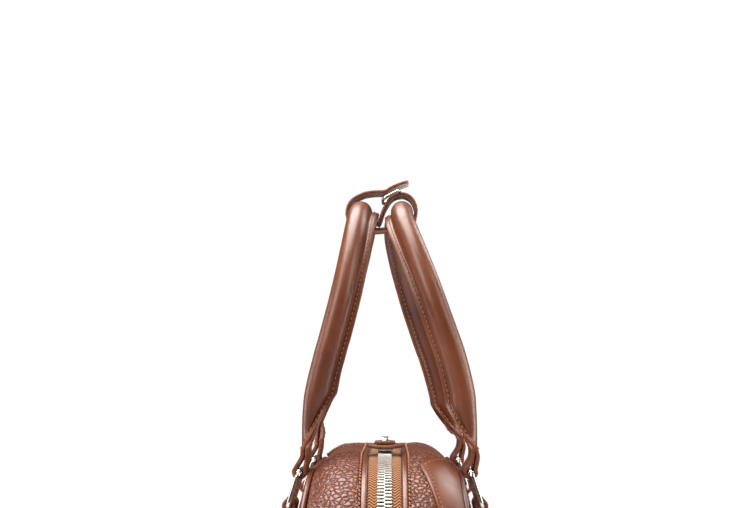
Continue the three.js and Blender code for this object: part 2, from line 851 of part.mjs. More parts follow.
function slider() {
  const length = sliderLength / 2;
  const shape = new THREE.Shape();
  shape.moveTo(-sliderWidth * 0.34, -length);
  shape.lineTo(sliderWidth * 0.34, -length);
  shape.lineTo(sliderWidth / 2, length * 0.3);
  shape.lineTo(sliderWidth * 0.36, length);
  shape.lineTo(-sliderWidth * 0.36, length);
  shape.lineTo(-sliderWidth / 2, length * 0.3);
  shape.closePath();
  const plate = new THREE.ExtrudeGeometry(shape, { depth: sliderPlate, bevelEnabled: false });
  const arch = new THREE.Shape();
  const inner = length - bridgeThickness - 1;
  const outer = length - 1;
  arch.moveTo(-outer, 0);
  arch.lineTo(-outer, bridgeHeight * 0.6);
  arch.quadraticCurveTo(-outer, bridgeHeight, -outer * 0.4, bridgeHeight);
  arch.lineTo(outer * 0.4, bridgeHeight);
  arch.quadraticCurveTo(outer, bridgeHeight, outer, bridgeHeight * 0.6);
  arch.lineTo(outer, 0);
  arch.lineTo(inner, 0);
  arch.lineTo(inner, bridgeHeight * 0.5);
  arch.quadraticCurveTo(inner, bridgeHeight - bridgeThickness, inner * 0.4, bridgeHeight - bridgeThickness);
  arch.lineTo(-inner * 0.4, bridgeHeight - bridgeThickness);
  arch.quadraticCurveTo(-inner, bridgeHeight - bridgeThickness, -inner, bridgeHeight * 0.5);
  arch.lineTo(-inner, 0);
  arch.closePath();
  const bridge = new THREE.ExtrudeGeometry(arch, {
    depth: bridgeWidth,
    bevelEnabled: false,
    curveSegments: 3,
  });
  bridge.rotateX(Math.PI / 2);
  bridge.rotateZ(Math.PI / 2);
  bridge.translate(-bridgeWidth / 2, 0, sliderPlate - 0.2);
  return geometryOf(solidOf(plate).add(solidOf(bridge)));
}

// The link is a flat loop of wire from the bridge to the back edge of the pull's leather.
function pullLink() {
  const front = -sliderLength / 2 - linkReach + linkWire / 2 + 2 * pieceGap;
  const back = -sliderLength / 2 + 1 + bridgeThickness + linkWire / 2 + pieceGap;
  const half = linkWidth / 2;
  const points = [
    [-half, front],
    [half, front],
    [half, back],
    [-half, back],
  ].map(([x, y]) => new THREE.Vector3(x, y, 0));
  return wireLoop(points, linkWire / 2, 6, new THREE.Vector3(0, 0, 1));
}

// The whole bag
const zipRows = 32;
for (const [name, side] of [
  ["left", -1],
  ["right", 1],
]) {
  addPiece(`side_panel_${name}`, sidePanel(side), grainLeather);
  addPiece(`piping_${name}`, piping(side), edgeLeather);
  addPiece(`top_gusset_${name}`, topGusset(side), smoothLeather);
  const tape = [chainHalfWidth + pieceGap, tapeHalfWidth - pieceGap].map((x) => side * x);
  addPiece(`zip_tape_${name}`, zipStrip(...tape, -zipSink, tapeThickness, zipRows), tapeCloth);
  const binding = [tapeHalfWidth, tapeHalfWidth + bindingWidth].map((x) => side * x);
  addPiece(`zip_binding_${name}`, zipStrip(...binding, bindingRise, leatherWall + bindingRise, zipRows), smoothLeather);
  addPiece(`handle_${name}`, handle(side), smoothLeather);
  for (const [end, way] of [
    ["near", -1],
    ["far", 1],
  ]) {
    const middleY = (way * handleSpacing) / 2;
    addPiece(`ring_${name}_${end}`, ring(side, middleY), silver);
    addPiece(`ring_tab_${name}_${end}`, chape(side, middleY), smoothLeather);
  }
}
addPiece("end_panel_near", endPanel(-1), grainLeather);
addPiece("end_panel_far", endPanel(1), grainLeather);
addPiece("base_panel", basePanel(), grainLeather);
for (const row of patches) {
  const height = row.side > 0 ? "high" : "low";
  addPiece(`patch_${height}_near`, patch(-1, row.side, row), smoothLeather);
  addPiece(`patch_${height}_far`, patch(1, -row.side, row), smoothLeather);
}
const chainRise = chainThickness / 2 - zipSink - tapeThickness / 2;
addPiece("zip_chain", zipStrip(-chainHalfWidth, chainHalfWidth, chainRise, chainThickness, zipRows), silver);
const sliderBase = bodyHeight + pieceGap;
addPiece("zip_slider", slider(), silver).position.set(0, sliderY, sliderBase);
addPiece("pull_link", pullLink(), silver).position.set(0, sliderY, sliderBase + linkHeight);
bag.add(zipPull());
addPiece("keeper_strap", keeperStrap(), smoothLeather);
bag.add(buckle());

export default bag;
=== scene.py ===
from math import asin, atan2, copysign, cos, exp, hypot, pi, radians, sin, sqrt

import bpy
import bmesh
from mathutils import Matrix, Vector, noise


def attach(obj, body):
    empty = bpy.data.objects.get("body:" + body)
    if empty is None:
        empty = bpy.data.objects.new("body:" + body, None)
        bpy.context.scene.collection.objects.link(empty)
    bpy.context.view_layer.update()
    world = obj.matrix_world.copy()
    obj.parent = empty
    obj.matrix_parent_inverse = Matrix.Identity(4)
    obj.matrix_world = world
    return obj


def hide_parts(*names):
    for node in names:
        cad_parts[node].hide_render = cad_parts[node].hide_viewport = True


# A boston bag in brown leather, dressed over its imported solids. Shapes are worked out in
# millimetres and made in metres. +Z is up, and the end at -Y faces the camera.
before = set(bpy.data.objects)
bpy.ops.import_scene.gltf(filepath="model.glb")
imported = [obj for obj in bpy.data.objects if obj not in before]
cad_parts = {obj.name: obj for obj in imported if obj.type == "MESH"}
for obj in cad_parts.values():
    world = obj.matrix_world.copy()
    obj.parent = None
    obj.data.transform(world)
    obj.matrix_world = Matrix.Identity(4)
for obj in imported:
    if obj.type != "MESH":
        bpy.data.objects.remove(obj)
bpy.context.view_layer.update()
print("frame loaded")

body = {
    "length": 280, "height": 179, "topHalf": 47.5, "baseHalf": 59, "shoulder": 75, "foot": 28,
    "shoulderDrop": 12, "baseLift": 3, "bulge": 10, "wall": 2, "gap": 0.3, "endSeam": 52,
    "pipe": 2.1, "chainHalf": 4.1, "tapeHalf": 10.4, "binding": 4.2, "zipFoot": 62,
    "puff": 1.7, "pucker": 0.34, "dent": 1.1, "sideDent": 2.2,
}
topFlat = body["length"] / 2 - body["shoulder"]
shoulderArc = body["shoulder"] * pi / 2
endStraight = body["height"] - body["shoulder"] - body["foot"]
footArc = body["foot"] * pi / 2
footDistance = topFlat + shoulderArc + endStraight + footArc
baseHalfLength = body["length"] / 2 - body["foot"]
outlineHalf = footDistance + baseHalfLength
slotHalf = body["tapeHalf"] + body["binding"] + body["gap"]
zipHalf = topFlat + shoulderArc + body["height"] - body["shoulder"] - body["zipFoot"]
sideMiddle = body["height"] / 2
bodyCentre = Vector((0, 0, sideMiddle))


def mix(a, b, share):
    return a + (b - a) * share


def ease(share):
    s = min(1, max(0, share))
    return s * s * (3 - 2 * s)


# The bag's outline along its length: a place and the way out, by distance from the top's middle.
def outlineAt(distance):
    height, shoulder, foot = body["height"], body["shoulder"], body["foot"]
    side = -1 if distance < 0 else 1
    rest = abs(distance)
    if rest < topFlat:
        return side * rest, height, 0, 1
    rest -= topFlat
    if rest < shoulderArc:
        outY, outZ = side * sin(rest / shoulder), cos(rest / shoulder)
        return side * topFlat + shoulder * outY, height - shoulder + shoulder * outZ, outY, outZ
    rest -= shoulderArc
    if rest < endStraight:
        return side * body["length"] / 2, height - shoulder - rest, side, 0
    rest -= endStraight
    if rest < footArc:
        outY, outZ = side * cos(rest / foot), -sin(rest / foot)
        return side * baseHalfLength + foot * outY, foot + foot * outZ, outY, outZ
    return side * (baseHalfLength - rest + footArc), 0, 0, -1


def halfWidthAt(z):
    return mix(body["baseHalf"], body["topHalf"], (max(0, z) / body["height"]) ** 1.5)


def crownDrop(x, z):
    share = min(1, abs(x) / halfWidthAt(z))
    high = ease(z / (2 * body["foot"]))
    flat = mix(0.84, 0.3, high)
    past = max(0, (share - flat) / (1 - flat))
    return mix(body["baseLift"], body["shoulderDrop"], high) * past ** mix(1.5, 2.6, high)


def bandPoint(distance, x, rise=0):
    y, z, outY, outZ = outlineAt(distance)
    out = rise - crownDrop(x, z)
    return Vector((x, y + outY * out, z + outZ * out))


def bandOut(distance, x):
    along = bandPoint(distance + 0.5, x) - bandPoint(distance - 0.5, x)
    across = bandPoint(distance, x + 0.5) - bandPoint(distance, x - 0.5)
    out = along.cross(across).normalized()
    return -out if out.dot(bandPoint(distance, x) - bodyCentre) < 0 else out


def seamPoint(distance, side):
    return bandPoint(distance, side * halfWidthAt(outlineAt(distance)[1]))


def bandLimit(distance):
    return halfWidthAt(outlineAt(distance)[1]) - body["pipe"] - body["gap"]


# What filling, sewing and use have done to the band: it swells between its seams, puckers at
# them and has soft dents. It stays in place along the seams themselves.
def bandRelief(distance, x):
    z = outlineAt(distance)[1]
    limit = bandLimit(distance)
    inner = slotHalf * (1 - ease((abs(distance) - zipHalf) / 14))
    share = min(1, max(0, (abs(x) - inner) / (limit - inner)))
    toSeam = limit - abs(x)
    toZip = abs(x) - inner
    place = Vector((x, distance, 40 * copysign(1, x)))
    swell = body["puff"] * sin(pi * share) ** 0.8
    wave = sin(distance * 0.74 + 3 * noise.noise(place * 0.05))
    pucker = body["pucker"] * wave * (exp(-toSeam / 5) + 0.8 * exp(-max(0, toZip) / 4))
    dent = body["dent"] * (noise.noise(place * 0.022) + 0.5 * noise.noise(place * 0.06))
    dent *= ease(toSeam / 16) * (ease(toZip / 10) if inner > 1 else 1)
    sewn = -0.7 * exp(-((abs(distance) - body["endSeam"]) / 1.5) ** 2)
    return ease((z - 4) / 26) * (swell + pucker + dent) + sewn


# Colours are sRGB hex values, turned to linear here.
def colour(code):
    parts = [int(code[i:i + 2], 16) / 255 for i in (1, 3, 5)]
    return (*[c / 12.92 if c < 0.04045 else ((c + 0.055) / 1.055) ** 2.4 for c in parts], 1)


# Adds a node to a tree with its settings and colour stops, and links or fills its sockets. A node
# given as a value stands for its first output.
def addNode(tree, kind, inputs=None, stops=(), **settings):
    node = tree.nodes.new(kind)
    for name, value in settings.items():
        setattr(node, name, value)
    for place, code in stops[2:]:
        node.color_ramp.elements.new(place)
    for k, (place, code) in enumerate(sorted(stops)):
        node.color_ramp.elements[k].position = place
        node.color_ramp.elements[k].color = colour(code)
    for key, value in (inputs or {}).items():
        if isinstance(value, bpy.types.Node):
            value = value.outputs[0]
        if isinstance(value, bpy.types.NodeSocket):
            tree.links.new(value, node.inputs[key])
        else:
            node.inputs[key].default_value = value
    return node


# A material with its Principled settings, and where its patterns lie: on Object coordinates in
# metres, or on a UV map.
def newMaterial(name, settings, uvMap=None):
    material = bpy.data.materials.new(name)
    material.use_nodes = True
    tree = material.node_tree
    shader = tree.nodes["Principled BSDF"]
    for socket, value in settings.items():
        shader.inputs[socket].default_value = value
    if uvMap:
        return material, tree, shader, addNode(tree, "ShaderNodeUVMap", uv_map=uvMap).outputs["UV"]
    return material, tree, shader, addNode(tree, "ShaderNodeTexCoord").outputs["Object"]


# Turns a straight rise into a dome's.
def domed(tree, source):
    rest = addNode(tree, "ShaderNodeMath", {0: 1.0, 1: source}, operation="SUBTRACT")
    square = addNode(tree, "ShaderNodeMath", {0: rest, 1: rest}, operation="MULTIPLY")
    return addNode(tree, "ShaderNodeMath", {0: 1.0, 1: square}, operation="SUBTRACT")


# Colours the shader by shade and roughens it by wear: dull holds wear's low and high, and the
# roughness at each. relief holds the bump's height in metres and its strength.
def finish(tree, shader, shade, stops, wear, dull, height, relief):
    base = addNode(tree, "ShaderNodeValToRGB", {0: shade}, stops)
    rough = addNode(tree, "ShaderNodeMapRange", {0: wear, **dict(enumerate(dull, 1))})
    bump = addNode(tree, "ShaderNodeBump", {
        "Height": height, "Distance": relief[0], "Strength": relief[1]})
    for socket, source in (("Base Color", base), ("Roughness", rough), ("Normal", bump),
                           ("Coat Normal", bump)):
        tree.links.new(source.outputs[0], shader.inputs[socket])


# Full-grain cowhide, milled so that it shrinks into pebbles about 3 mm across with finer wrinkles
# on them, all a little flattened. The tops are shinier than the creases between them. They are also
# lighter, partly from the leather's own patchy tone and partly from painted shade darkening the
# creases.
def pebbledCowhide():
    material, tree, shader, place = newMaterial("pebbled cowhide, milled", {
        "IOR": 1.5, "Specular IOR Level": 0.4, "Coat Weight": 0.55, "Coat Roughness": 0.2,
        "Coat IOR": 1.5})
    bend = addNode(tree, "ShaderNodeTexNoise", {"Vector": place, "Scale": 210, "Detail": 2})
    shift = addNode(tree, "ShaderNodeVectorMath", {0: bend.outputs["Color"], 1: (0.0015,) * 3},
                    operation="MULTIPLY")
    flat = addNode(tree, "ShaderNodeVectorMath", {0: place, 1: (0.85, 0.85, 1.25)},
                   operation="MULTIPLY")
    bent = addNode(tree, "ShaderNodeVectorMath", {0: flat, 1: shift})
    domes = []
    for scale, edge in ((330, 0.42), (760, 0.4)):  # cells of 3 mm and of 1.3 mm
        cells = addNode(tree, "ShaderNodeTexVoronoi", {"Vector": bent, "Scale": scale},
                        feature="DISTANCE_TO_EDGE")
        domes.append(domed(tree, addNode(tree, "ShaderNodeMapRange", {0: cells, 2: edge})))
    patchy = addNode(tree, "ShaderNodeTexNoise", {"Vector": place, "Scale": 26, "Detail": 3})
    softly = addNode(tree, "ShaderNodeMapRange", {0: patchy, 1: 0.3, 2: 0.7, 3: 0.02, 4: 0.12})
    height = addNode(tree, "ShaderNodeMix", {0: softly, 2: domes[0], 3: domes[1]})
    # Colour from dome height and patchy noise: painted shade in the creases, plus the leather's own
    # patchy tone
    creaseShadeAndTone = addNode(tree, "ShaderNodeMix", {0: 0.35, 2: height, 3: patchy})
    finish(tree, shader, creaseShadeAndTone, [(0.12, "#3a1407"), (0.95, "#8a431f"), (0.6, "#703112")],
           height, (0, 1, 0.6, 0.33), height, (0.00048, 1))
    return material


# Smooth calf leather, glazed: an even red-brown with fine pores 0.9 mm apart, a soft shine and a
# few faint wrinkles 6 mm apart. pore is their depth in metres, gloss the glaze's weight.
def glazedCalf(name, stops, pore, gloss):
    material, tree, shader, place = newMaterial(name, {
        "IOR": 1.5, "Specular IOR Level": 0.4, "Coat Weight": gloss, "Coat Roughness": 0.26,
        "Coat IOR": 1.5})
    pores = addNode(tree, "ShaderNodeTexVoronoi", {"Vector": place, "Scale": 1150},
                    feature="DISTANCE_TO_EDGE")
    waves = addNode(tree, "ShaderNodeTexNoise", {"Vector": place, "Scale": 160, "Detail": 4})
    patchy = addNode(tree, "ShaderNodeTexNoise", {"Vector": place, "Scale": 22, "Detail": 4})
    grain = addNode(tree, "ShaderNodeMapRange", {0: pores, 2: 0.25})
    height = addNode(tree, "ShaderNodeMix", {0: 0.6, 2: grain, 3: waves})
    finish(tree, shader, patchy, stops, waves, (0.3, 0.7, 0.32, 0.46), height, (pore, 0.55))
    return material


# Cotton zip tape woven in herringbone: ribs 2.2 mm apart, drawn coarser than the real 0.8 mm so
# that they show. The ribs are coloured by their height, dark in the grooves and light on top:
# painted shade and painted highlight on the weave. The UV map holds millimetres along and across.
def herringboneTape(ribPitch, foldWidth):
    material, tree, shader, uv = newMaterial("herringbone cotton zip tape", {
        "IOR": 1.45, "Sheen Weight": 0.2}, "tape")
    parts = addNode(tree, "ShaderNodeSeparateXYZ", {"Vector": uv}).outputs
    slope = parts["Y"]
    for operation, value in (("PINGPONG", foldWidth), ("ADD", parts["X"]),
                             ("MULTIPLY", 2 * pi / ribPitch), ("SINE", 0)):
        slope = addNode(tree, "ShaderNodeMath", {0: slope, 1: value}, operation=operation)
    height = addNode(tree, "ShaderNodeMapRange", {0: slope, 1: -1})
    fuzz = addNode(tree, "ShaderNodeTexNoise", {"Vector": uv, "Scale": 2.2, "Detail": 3})
    # Rib height drives the colour: painted shade in the grooves, painted highlight on the rib tops
    shade = addNode(tree, "ShaderNodeMix", {0: 0.12, 2: height, 3: fuzz})
    finish(tree, shader, shade, [(0.3, "#3a180a"), (0.7, "#ba7c4e")], fuzz, (0, 1, 0.75, 0.95),
           height, (0.0002, 0.9))
    return material


# A finish whose one pattern, of so many waves to the metre, drives colour, roughness and relief.
def plainFinish(name, settings, pattern, stops, dull, relief, kind="Noise", **how):
    material, tree, shader, place = newMaterial(name, settings)
    waves = addNode(tree, "ShaderNodeTex" + kind, {"Vector": place, **pattern}, **how)
    grain = waves.outputs["Fac"]
    finish(tree, shader, grain, stops, grain, dull, grain, relief)
    return material


calfStops = [(0.28, "#58260f"), (0.75, "#7d4124"), (0.5, "#6b3419")]
cowhide = pebbledCowhide()
calf = glazedCalf("glazed calf leather", calfStops, 0.00012, 0.45)
strapCalf = glazedCalf("glazed calf leather, straps", [(0.3, "#52220d"), (0.75, "#74391d")],
                       0.0001, 0.35)
pipingCalf = glazedCalf("piping calf leather", [(0.3, "#4b1a09"), (0.75, "#733116")], 0.00009, 0.5)
polishedCalf = glazedCalf("glazed calf leather, polished", calfStops, 0.0001, 0.95)
# Near-black colour for the needle holes: painted shade in the holes
paintedHoleShade = glazedCalf("needle hole, painted shade", [(0.3, "#120805"), (0.75, "#1d0d08")],
                        0.0001, 0)
tapeCotton = herringboneTape(2.2, 2.9)

# Cut edges, sanded and painted: a matt film with slight brush waves. It is lighter than the
# leather, partly from the paint's own tone and partly as painted highlight on edges that face up.
edgePaintAndHighlight = plainFinish("painted leather edge, lightened as painted highlight", {"IOR": 1.48}, {"Scale": 420, "Detail": 3},
                        [(0.25, "#64301a"), (0.8, "#8f5235")], (0.3, 0.7, 0.38, 0.52),
                        (0.00012, 0.6))
# The strap's flesh side: split suede, pale grey-beige with a short nap.
suede = plainFinish("flesh side, split suede", {"IOR": 1.45, "Sheen Weight": 0.25},
                    {"Scale": 1500, "Detail": 4}, [(0.25, "#a79b96"), (0.75, "#d6cdc9")],
                    (0, 1, 0.75, 0.95), (0.0001, 0.7))
# Nickel-plated brass or zinc, polished: a bright mirror with faint wear. The teeth are duller.
plated = {"Metallic": 1}
wear = {"Scale": 340, "Detail": 5}
nickel = plainFinish("polished nickel plate", plated, wear, [(0.2, "#b9b6b0"), (0.8, "#e4e2dd")],
                     (0.3, 0.7, 0.1, 0.2), (0.00003, 0.4))
toothNickel = plainFinish("nickel zip teeth", plated, wear, [(0.2, "#cfcbc4"), (0.8, "#f0ede8")],
                          (0.3, 0.7, 0.36, 0.46), (0.00003, 0.4))
# Waxed polyester thread in orange tan, twisted from three plies 1.6 mm apart.
thread = plainFinish("waxed polyester thread", {"IOR": 1.5, "Sheen Weight": 0.15},
                     {"Scale": 620, "Distortion": 1.5}, [(0.1, "#7a3a1c"), (0.9, "#c27945")],
                     (0, 1, 0.5, 0.62), (0.0001, 0.6), "Wave", bands_direction="DIAGONAL")
print("materials made")


def linkNew(name, data):
    piece = bpy.data.objects.new(name, data)
    bpy.context.collection.objects.link(piece)
    return piece


# Makes an object from points in millimetres. picks gives each face's material by its number.
def makeObject(name, points, faces, materials, picks=None):
    mesh = bpy.data.meshes.new(name)
    mesh.from_pydata([Vector(p) * 0.001 for p in points], [], faces)
    for material in materials:
        mesh.materials.append(material)
    mesh.polygons.foreach_set("use_smooth", [True] * len(faces))
    if picks:
        mesh.polygons.foreach_set("material_index", picks)
    return linkNew(name, mesh)


def dress(piece, slot, *nodes):
    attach(piece, "root")
    if nodes:
        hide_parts(*nodes)


def addModifier(piece, kind, **settings):
    modifier = piece.modifiers.new(kind.lower(), kind)
    for name, value in settings.items():
        setattr(modifier, name, value)
    return modifier


def roundEdges(piece, radius, segments, angle):
    addModifier(piece, "BEVEL", width=radius * 0.001, segments=segments, limit_method="ANGLE",
                angle_limit=radians(angle))


# A sheet of leather: a grid over a surface, turned to face out, with a wall and rounded cut edges.
def leatherSheet(name, surface, rows, columns, wall, materials, skip=None, edgeRound=0.5):
    points = [surface(i / rows, j / columns) for i in range(rows + 1) for j in range(columns + 1)]
    wide = columns + 1
    faces = []
    for i in range(rows):
        for j in range(columns):
            if not (skip and skip(i / rows, j / columns)):
                a = i * wide + j
                faces.append((a, a + 1, a + wide + 1, a + wide))
    out = 0
    for face in faces[::7]:  # every seventh is enough to tell
        p = [points[k] for k in face]
        out += (p[1] - p[0]).cross(p[3] - p[0]).dot((p[0] + p[2]) / 2 - bodyCentre)
    if out < 0:
        faces = [face[::-1] for face in faces]
    used = sorted({k for face in faces for k in face})
    number = {k: n for n, k in enumerate(used)}
    faces = [tuple(number[k] for k in face) for face in faces]
    piece = makeObject(name, [points[k] for k in used], faces, materials)
    addModifier(piece, "SOLIDIFY", thickness=wall * 0.001, offset=-1,
                material_offset_rim=len(materials) - 1)
    roundEdges(piece, edgeRound, 2, 60)
    return piece


# The faces that join rings of points with the same count.
def ringFaces(rings, sides, closed=False):
    faces = []
    for i in range(rings if closed else rings - 1):
        a, b = i * sides, (i + 1) % rings * sides
        faces += [(a + j, a + (j + 1) % sides, b + (j + 1) % sides, b + j) for j in range(sides)]
    return faces


# A closed skin through rings of points; open ends get a face each.
def sweepSkin(name, rings, materials, picks=None, closed=False):
    sides = len(rings[0])
    faces = ringFaces(len(rings), sides, closed)
    numbers = (picks or [0] * sides) * (len(faces) // sides)
    if not closed:
        last = (len(rings) - 1) * sides
        faces.append(tuple(range(sides - 1, -1, -1)))
        faces.append(tuple(last + j for j in range(sides)))
        numbers += [max(numbers)] * 2
    piece = makeObject(name, [p for ring in rings for p in ring], faces, materials, numbers)
    work = bmesh.new()
    work.from_mesh(piece.data)
    bmesh.ops.recalc_face_normals(work, faces=work.faces)
    work.to_mesh(piece.data)
    work.free()
    return piece


def wireLoop(name, points, radius, sides, across, material):
    rings = []
    turns = [2 * pi * j / sides for j in range(sides)]
    for i, point in enumerate(points):
        along = (points[(i + 1) % len(points)] - points[i - 1]).normalized()
        first = along.cross(across).normalized()
        second = first.cross(along)
        rings.append([point + first * radius * cos(t) + second * radius * sin(t) for t in turns])
    return sweepSkin(name, rings, [material], closed=True)


# The way that a line runs at its point k.
def wayAt(line, k):
    return (line[min(len(line) - 1, k + 1)] - line[max(0, k - 1)]).normalized()


# A smooth line through points, with its places spaced evenly.
def smoothLine(points, step, closed=False):
    count = len(points)
    dense = []
    for i in range(count if closed else count - 1):
        p = [points[(i + k) % count] if closed else points[min(count - 1, max(0, i + k))]
             for k in (-1, 0, 1, 2)]
        v0, v1 = (p[2] - p[0]) * 0.5, (p[3] - p[1]) * 0.5
        for n in range(12):
            t = n / 12
            dense.append((2 * (p[1] - p[2]) + v0 + v1) * t ** 3
                         + (3 * (p[2] - p[1]) - 2 * v0 - v1) * t ** 2 + v0 * t + p[1])
    dense.append(points[0] if closed else points[-1])
    lengths = [0]
    for a, b in zip(dense, dense[1:]):
        lengths.append(lengths[-1] + (b - a).length)
    total = max(2, round(lengths[-1] / step))
    line = []
    k = 0
    for n in range(total if closed else total + 1):
        want = lengths[-1] * n / total
        while k < len(dense) - 2 and lengths[k + 1] < want:
            k += 1
        span = max(1e-9, lengths[k + 1] - lengths[k])
        line.append(dense[k].lerp(dense[k + 1], (want - lengths[k]) / span))
    return line


# The outline of a rectangle with rounded corners, from its halves.
def roundedOutline(halfWide, halfHigh, corner, steps):
    outline = []
    for signX, signY, first in ((1, 1, 0), (-1, 1, 90), (-1, -1, 180), (1, -1, 270)):
        for k in range(steps + 1):
            turn = radians(first + k * 90 / steps)
            outline.append((signX * (halfWide - corner) + corner * cos(turn),
                            signY * (halfHigh - corner) + corner * sin(turn)))
    return outline


# Millimetres, and degrees for the lean
rowLabels = ("Pitch", "Length", "Width", "Height", "Lean")
fineStitch = (3.1, 2.1, 0.72, 0.6, 0)
handleStitch = (3.4, 2.2, 0.85, 0.7, 0)
ropeStitch = (3.2, 2.7, 1.25, 1.0, 16)
zipTooth = (2.5, 1.3, 4.5, 2.5, 0)
stitchLift = 0.12


# A row of small shapes along a line, whose mesh holds the way up at each point. The tree makes
# stitches from rounded rods with a near-black pit each, painted shade in the needle hole, or zip
# teeth from rods across the line.
def rowTree(name, material, teeth):
    tree = bpy.data.node_groups.new(name, "GeometryNodeTree")
    tree.interface.new_socket("Line", in_out="INPUT", socket_type="NodeSocketGeometry")
    for label in rowLabels:
        tree.interface.new_socket(label, in_out="INPUT", socket_type="NodeSocketFloat")
    tree.interface.new_socket("Row", in_out="OUTPUT", socket_type="NodeSocketGeometry")
    given = addNode(tree, "NodeGroupInput").outputs
    curve = addNode(tree, "GeometryNodeMeshToCurve", {"Mesh": given["Line"]})
    spaced = addNode(tree, "GeometryNodeResampleCurve", {"Curve": curve, "Length": given["Pitch"]},
                     mode="LENGTH")
    tangent = addNode(tree, "GeometryNodeInputTangent")
    up = addNode(tree, "GeometryNodeInputNamedAttribute", {"Name": "up"}, data_type="FLOAT_VECTOR")
    along = addNode(tree, "FunctionNodeAlignRotationToVector", {"Vector": tangent}, axis="X")
    facing = addNode(tree, "FunctionNodeAlignRotationToVector", {
        "Rotation": along, "Vector": up.outputs["Attribute"]}, axis="Z", pivot_axis="X")
    lean = addNode(tree, "ShaderNodeCombineXYZ", {"Z": given["Lean"]})
    leaning = addNode(tree, "FunctionNodeEulerToRotation", {"Euler": lean})
    turned = addNode(tree, "FunctionNodeRotateRotation", {
        "Rotation": facing, "Rotate By": leaning}, rotation_space="LOCAL")
    size = addNode(tree, "ShaderNodeCombineXYZ", {
        "X": given["Length"], "Y": given["Width"], "Z": given["Height"]})
    if teeth:
        rod = addNode(tree, "GeometryNodeMeshCylinder", {
            "Vertices": 10, "Radius": 0.5, "Depth": 1.0})
        unit = addNode(tree, "GeometryNodeTransform", {
            "Geometry": rod, "Rotation": (pi / 2, 0, 0)})
    else:
        ball = addNode(tree, "GeometryNodeMeshUVSphere", {"Segments": 8, "Rings": 6, "Radius": 0.5})
        laid = addNode(tree, "GeometryNodeTransform", {
            "Geometry": ball, "Rotation": (0, pi / 2, 0)})
        # A dark pit sunk in each stitch: painted shade in its needle hole
        pit = addNode(tree, "GeometryNodeMeshCylinder", {
            "Vertices": 8, "Radius": 0.5, "Depth": 0.4})
        sunk = addNode(tree, "GeometryNodeTransform", {
            "Geometry": pit, "Translation": (0.62, 0, -0.18), "Scale": (0.34, 1.15, 0.8)})
        pricked = addNode(tree, "GeometryNodeStoreNamedAttribute", {
            "Geometry": sunk, "Name": "pricked", "Value": True}, data_type="BOOLEAN", domain="FACE")
        unit = addNode(tree, "GeometryNodeJoinGeometry")
        for part in (laid, pricked):
            tree.links.new(part.outputs[0], unit.inputs[0])
    soft = addNode(tree, "GeometryNodeSetShadeSmooth", {
        "Geometry": unit, "Shade Smooth": not teeth})
    sized = addNode(tree, "GeometryNodeTransform", {"Geometry": soft, "Scale": size})
    placed = addNode(tree, "GeometryNodeInstanceOnPoints", {
        "Points": spaced, "Instance": sized, "Rotation": turned})
    real = addNode(tree, "GeometryNodeRealizeInstances", {"Geometry": placed})
    done = addNode(tree, "GeometryNodeSetMaterial", {"Geometry": real, "Material": material})
    if not teeth:
        hole = addNode(tree, "GeometryNodeInputNamedAttribute", {"Name": "pricked"},
                       data_type="BOOLEAN")
        done = addNode(tree, "GeometryNodeSetMaterial", {
            "Geometry": done, "Selection": hole, "Material": paintedHoleShade})
    addNode(tree, "NodeGroupOutput", {"Row": done})
    return tree


stitchTree = rowTree("stitches on a line", thread, False)
toothTree = rowTree("zip teeth on a line", toothNickel, True)


# rows holds lines of (place, way up).
def rowsAlong(name, tree, rows, sizes):
    points, ways, edges = [], [], []
    for row in rows:
        first = len(points)
        points += [place * 0.001 for place, way in row]
        ways += [c for place, way in row for c in way]
        edges += [(k, k + 1) for k in range(first, len(points) - 1)]
    mesh = bpy.data.meshes.new(name)
    mesh.from_pydata(points, edges, [])
    mesh.attributes.new("up", "FLOAT_VECTOR", "POINT").data.foreach_set("vector", ways)
    line = linkNew(name + "_line", mesh)
    modifier = addModifier(line, "NODES", node_group=tree)
    for item in tree.interface.items_tree:
        if item.name in rowLabels:
            value = sizes[rowLabels.index(item.name)]
            modifier[item.identifier] = radians(value) if item.name == "Lean" else value * 0.001
    depsgraph = bpy.context.evaluated_depsgraph_get()
    made = bpy.data.meshes.new_from_object(line.evaluated_get(depsgraph))
    bpy.data.objects.remove(line)
    return linkNew(name, made)


def sew(name, rows, sizes):
    dress(rowsAlong(name, stitchTree, rows, sizes), "zip_tape")


bothSides = (("left", -1), ("right", 1))
bothEnds = (("near", -1), ("far", 1))
acrossBag, alongBag, upward = Vector((1, 0, 0)), Vector((0, 1, 0)), Vector((0, 0, 1))

# Side panels
sidePanel = {"sectors": 168, "shares": 40, "pucker": 0.4, "rimSink": 0.5, "pipeSteps": 300}
seamInset = body["pipe"] + 3 * body["gap"]


def sidePoint(y, z, share):
    rounded = hypot(y / (body["length"] / 2), (z - sideMiddle) / sideMiddle)
    level = mix(min(1, rounded), share, share)
    return halfWidthAt(z) + body["bulge"] * (1 - level ** 3)


def sidePanelPlace(side, sector, share):
    distance = (sector / sidePanel["sectors"] * 2 - 1) * outlineHalf
    seam = seamPoint(distance, 1)
    outY, outZ = outlineAt(distance)[2:]
    reachY = (seam.y - outY * seamInset) * share
    reachZ = (seam.z - outZ * seamInset - sideMiddle) * share
    high = sideMiddle + reachZ
    place = Vector((side * 60, reachY, high))
    fromRim = (1 - share) * hypot(reachY, reachZ) / max(share, 0.01)
    worn = body["sideDent"] * (noise.noise(place * 0.014) + 0.45 * noise.noise(place * 0.04))
    worn *= ease(fromRim / 34)
    wave = sin(distance * 0.7 + 4 * noise.noise(place * 0.03))
    worn += sidePanel["pucker"] * wave * exp(-fromRim / 6)
    worn -= sidePanel["rimSink"] * (1 - ease(fromRim / 2.5))
    return Vector((side * (sidePoint(reachY, high, share) + worn), reachY, high))


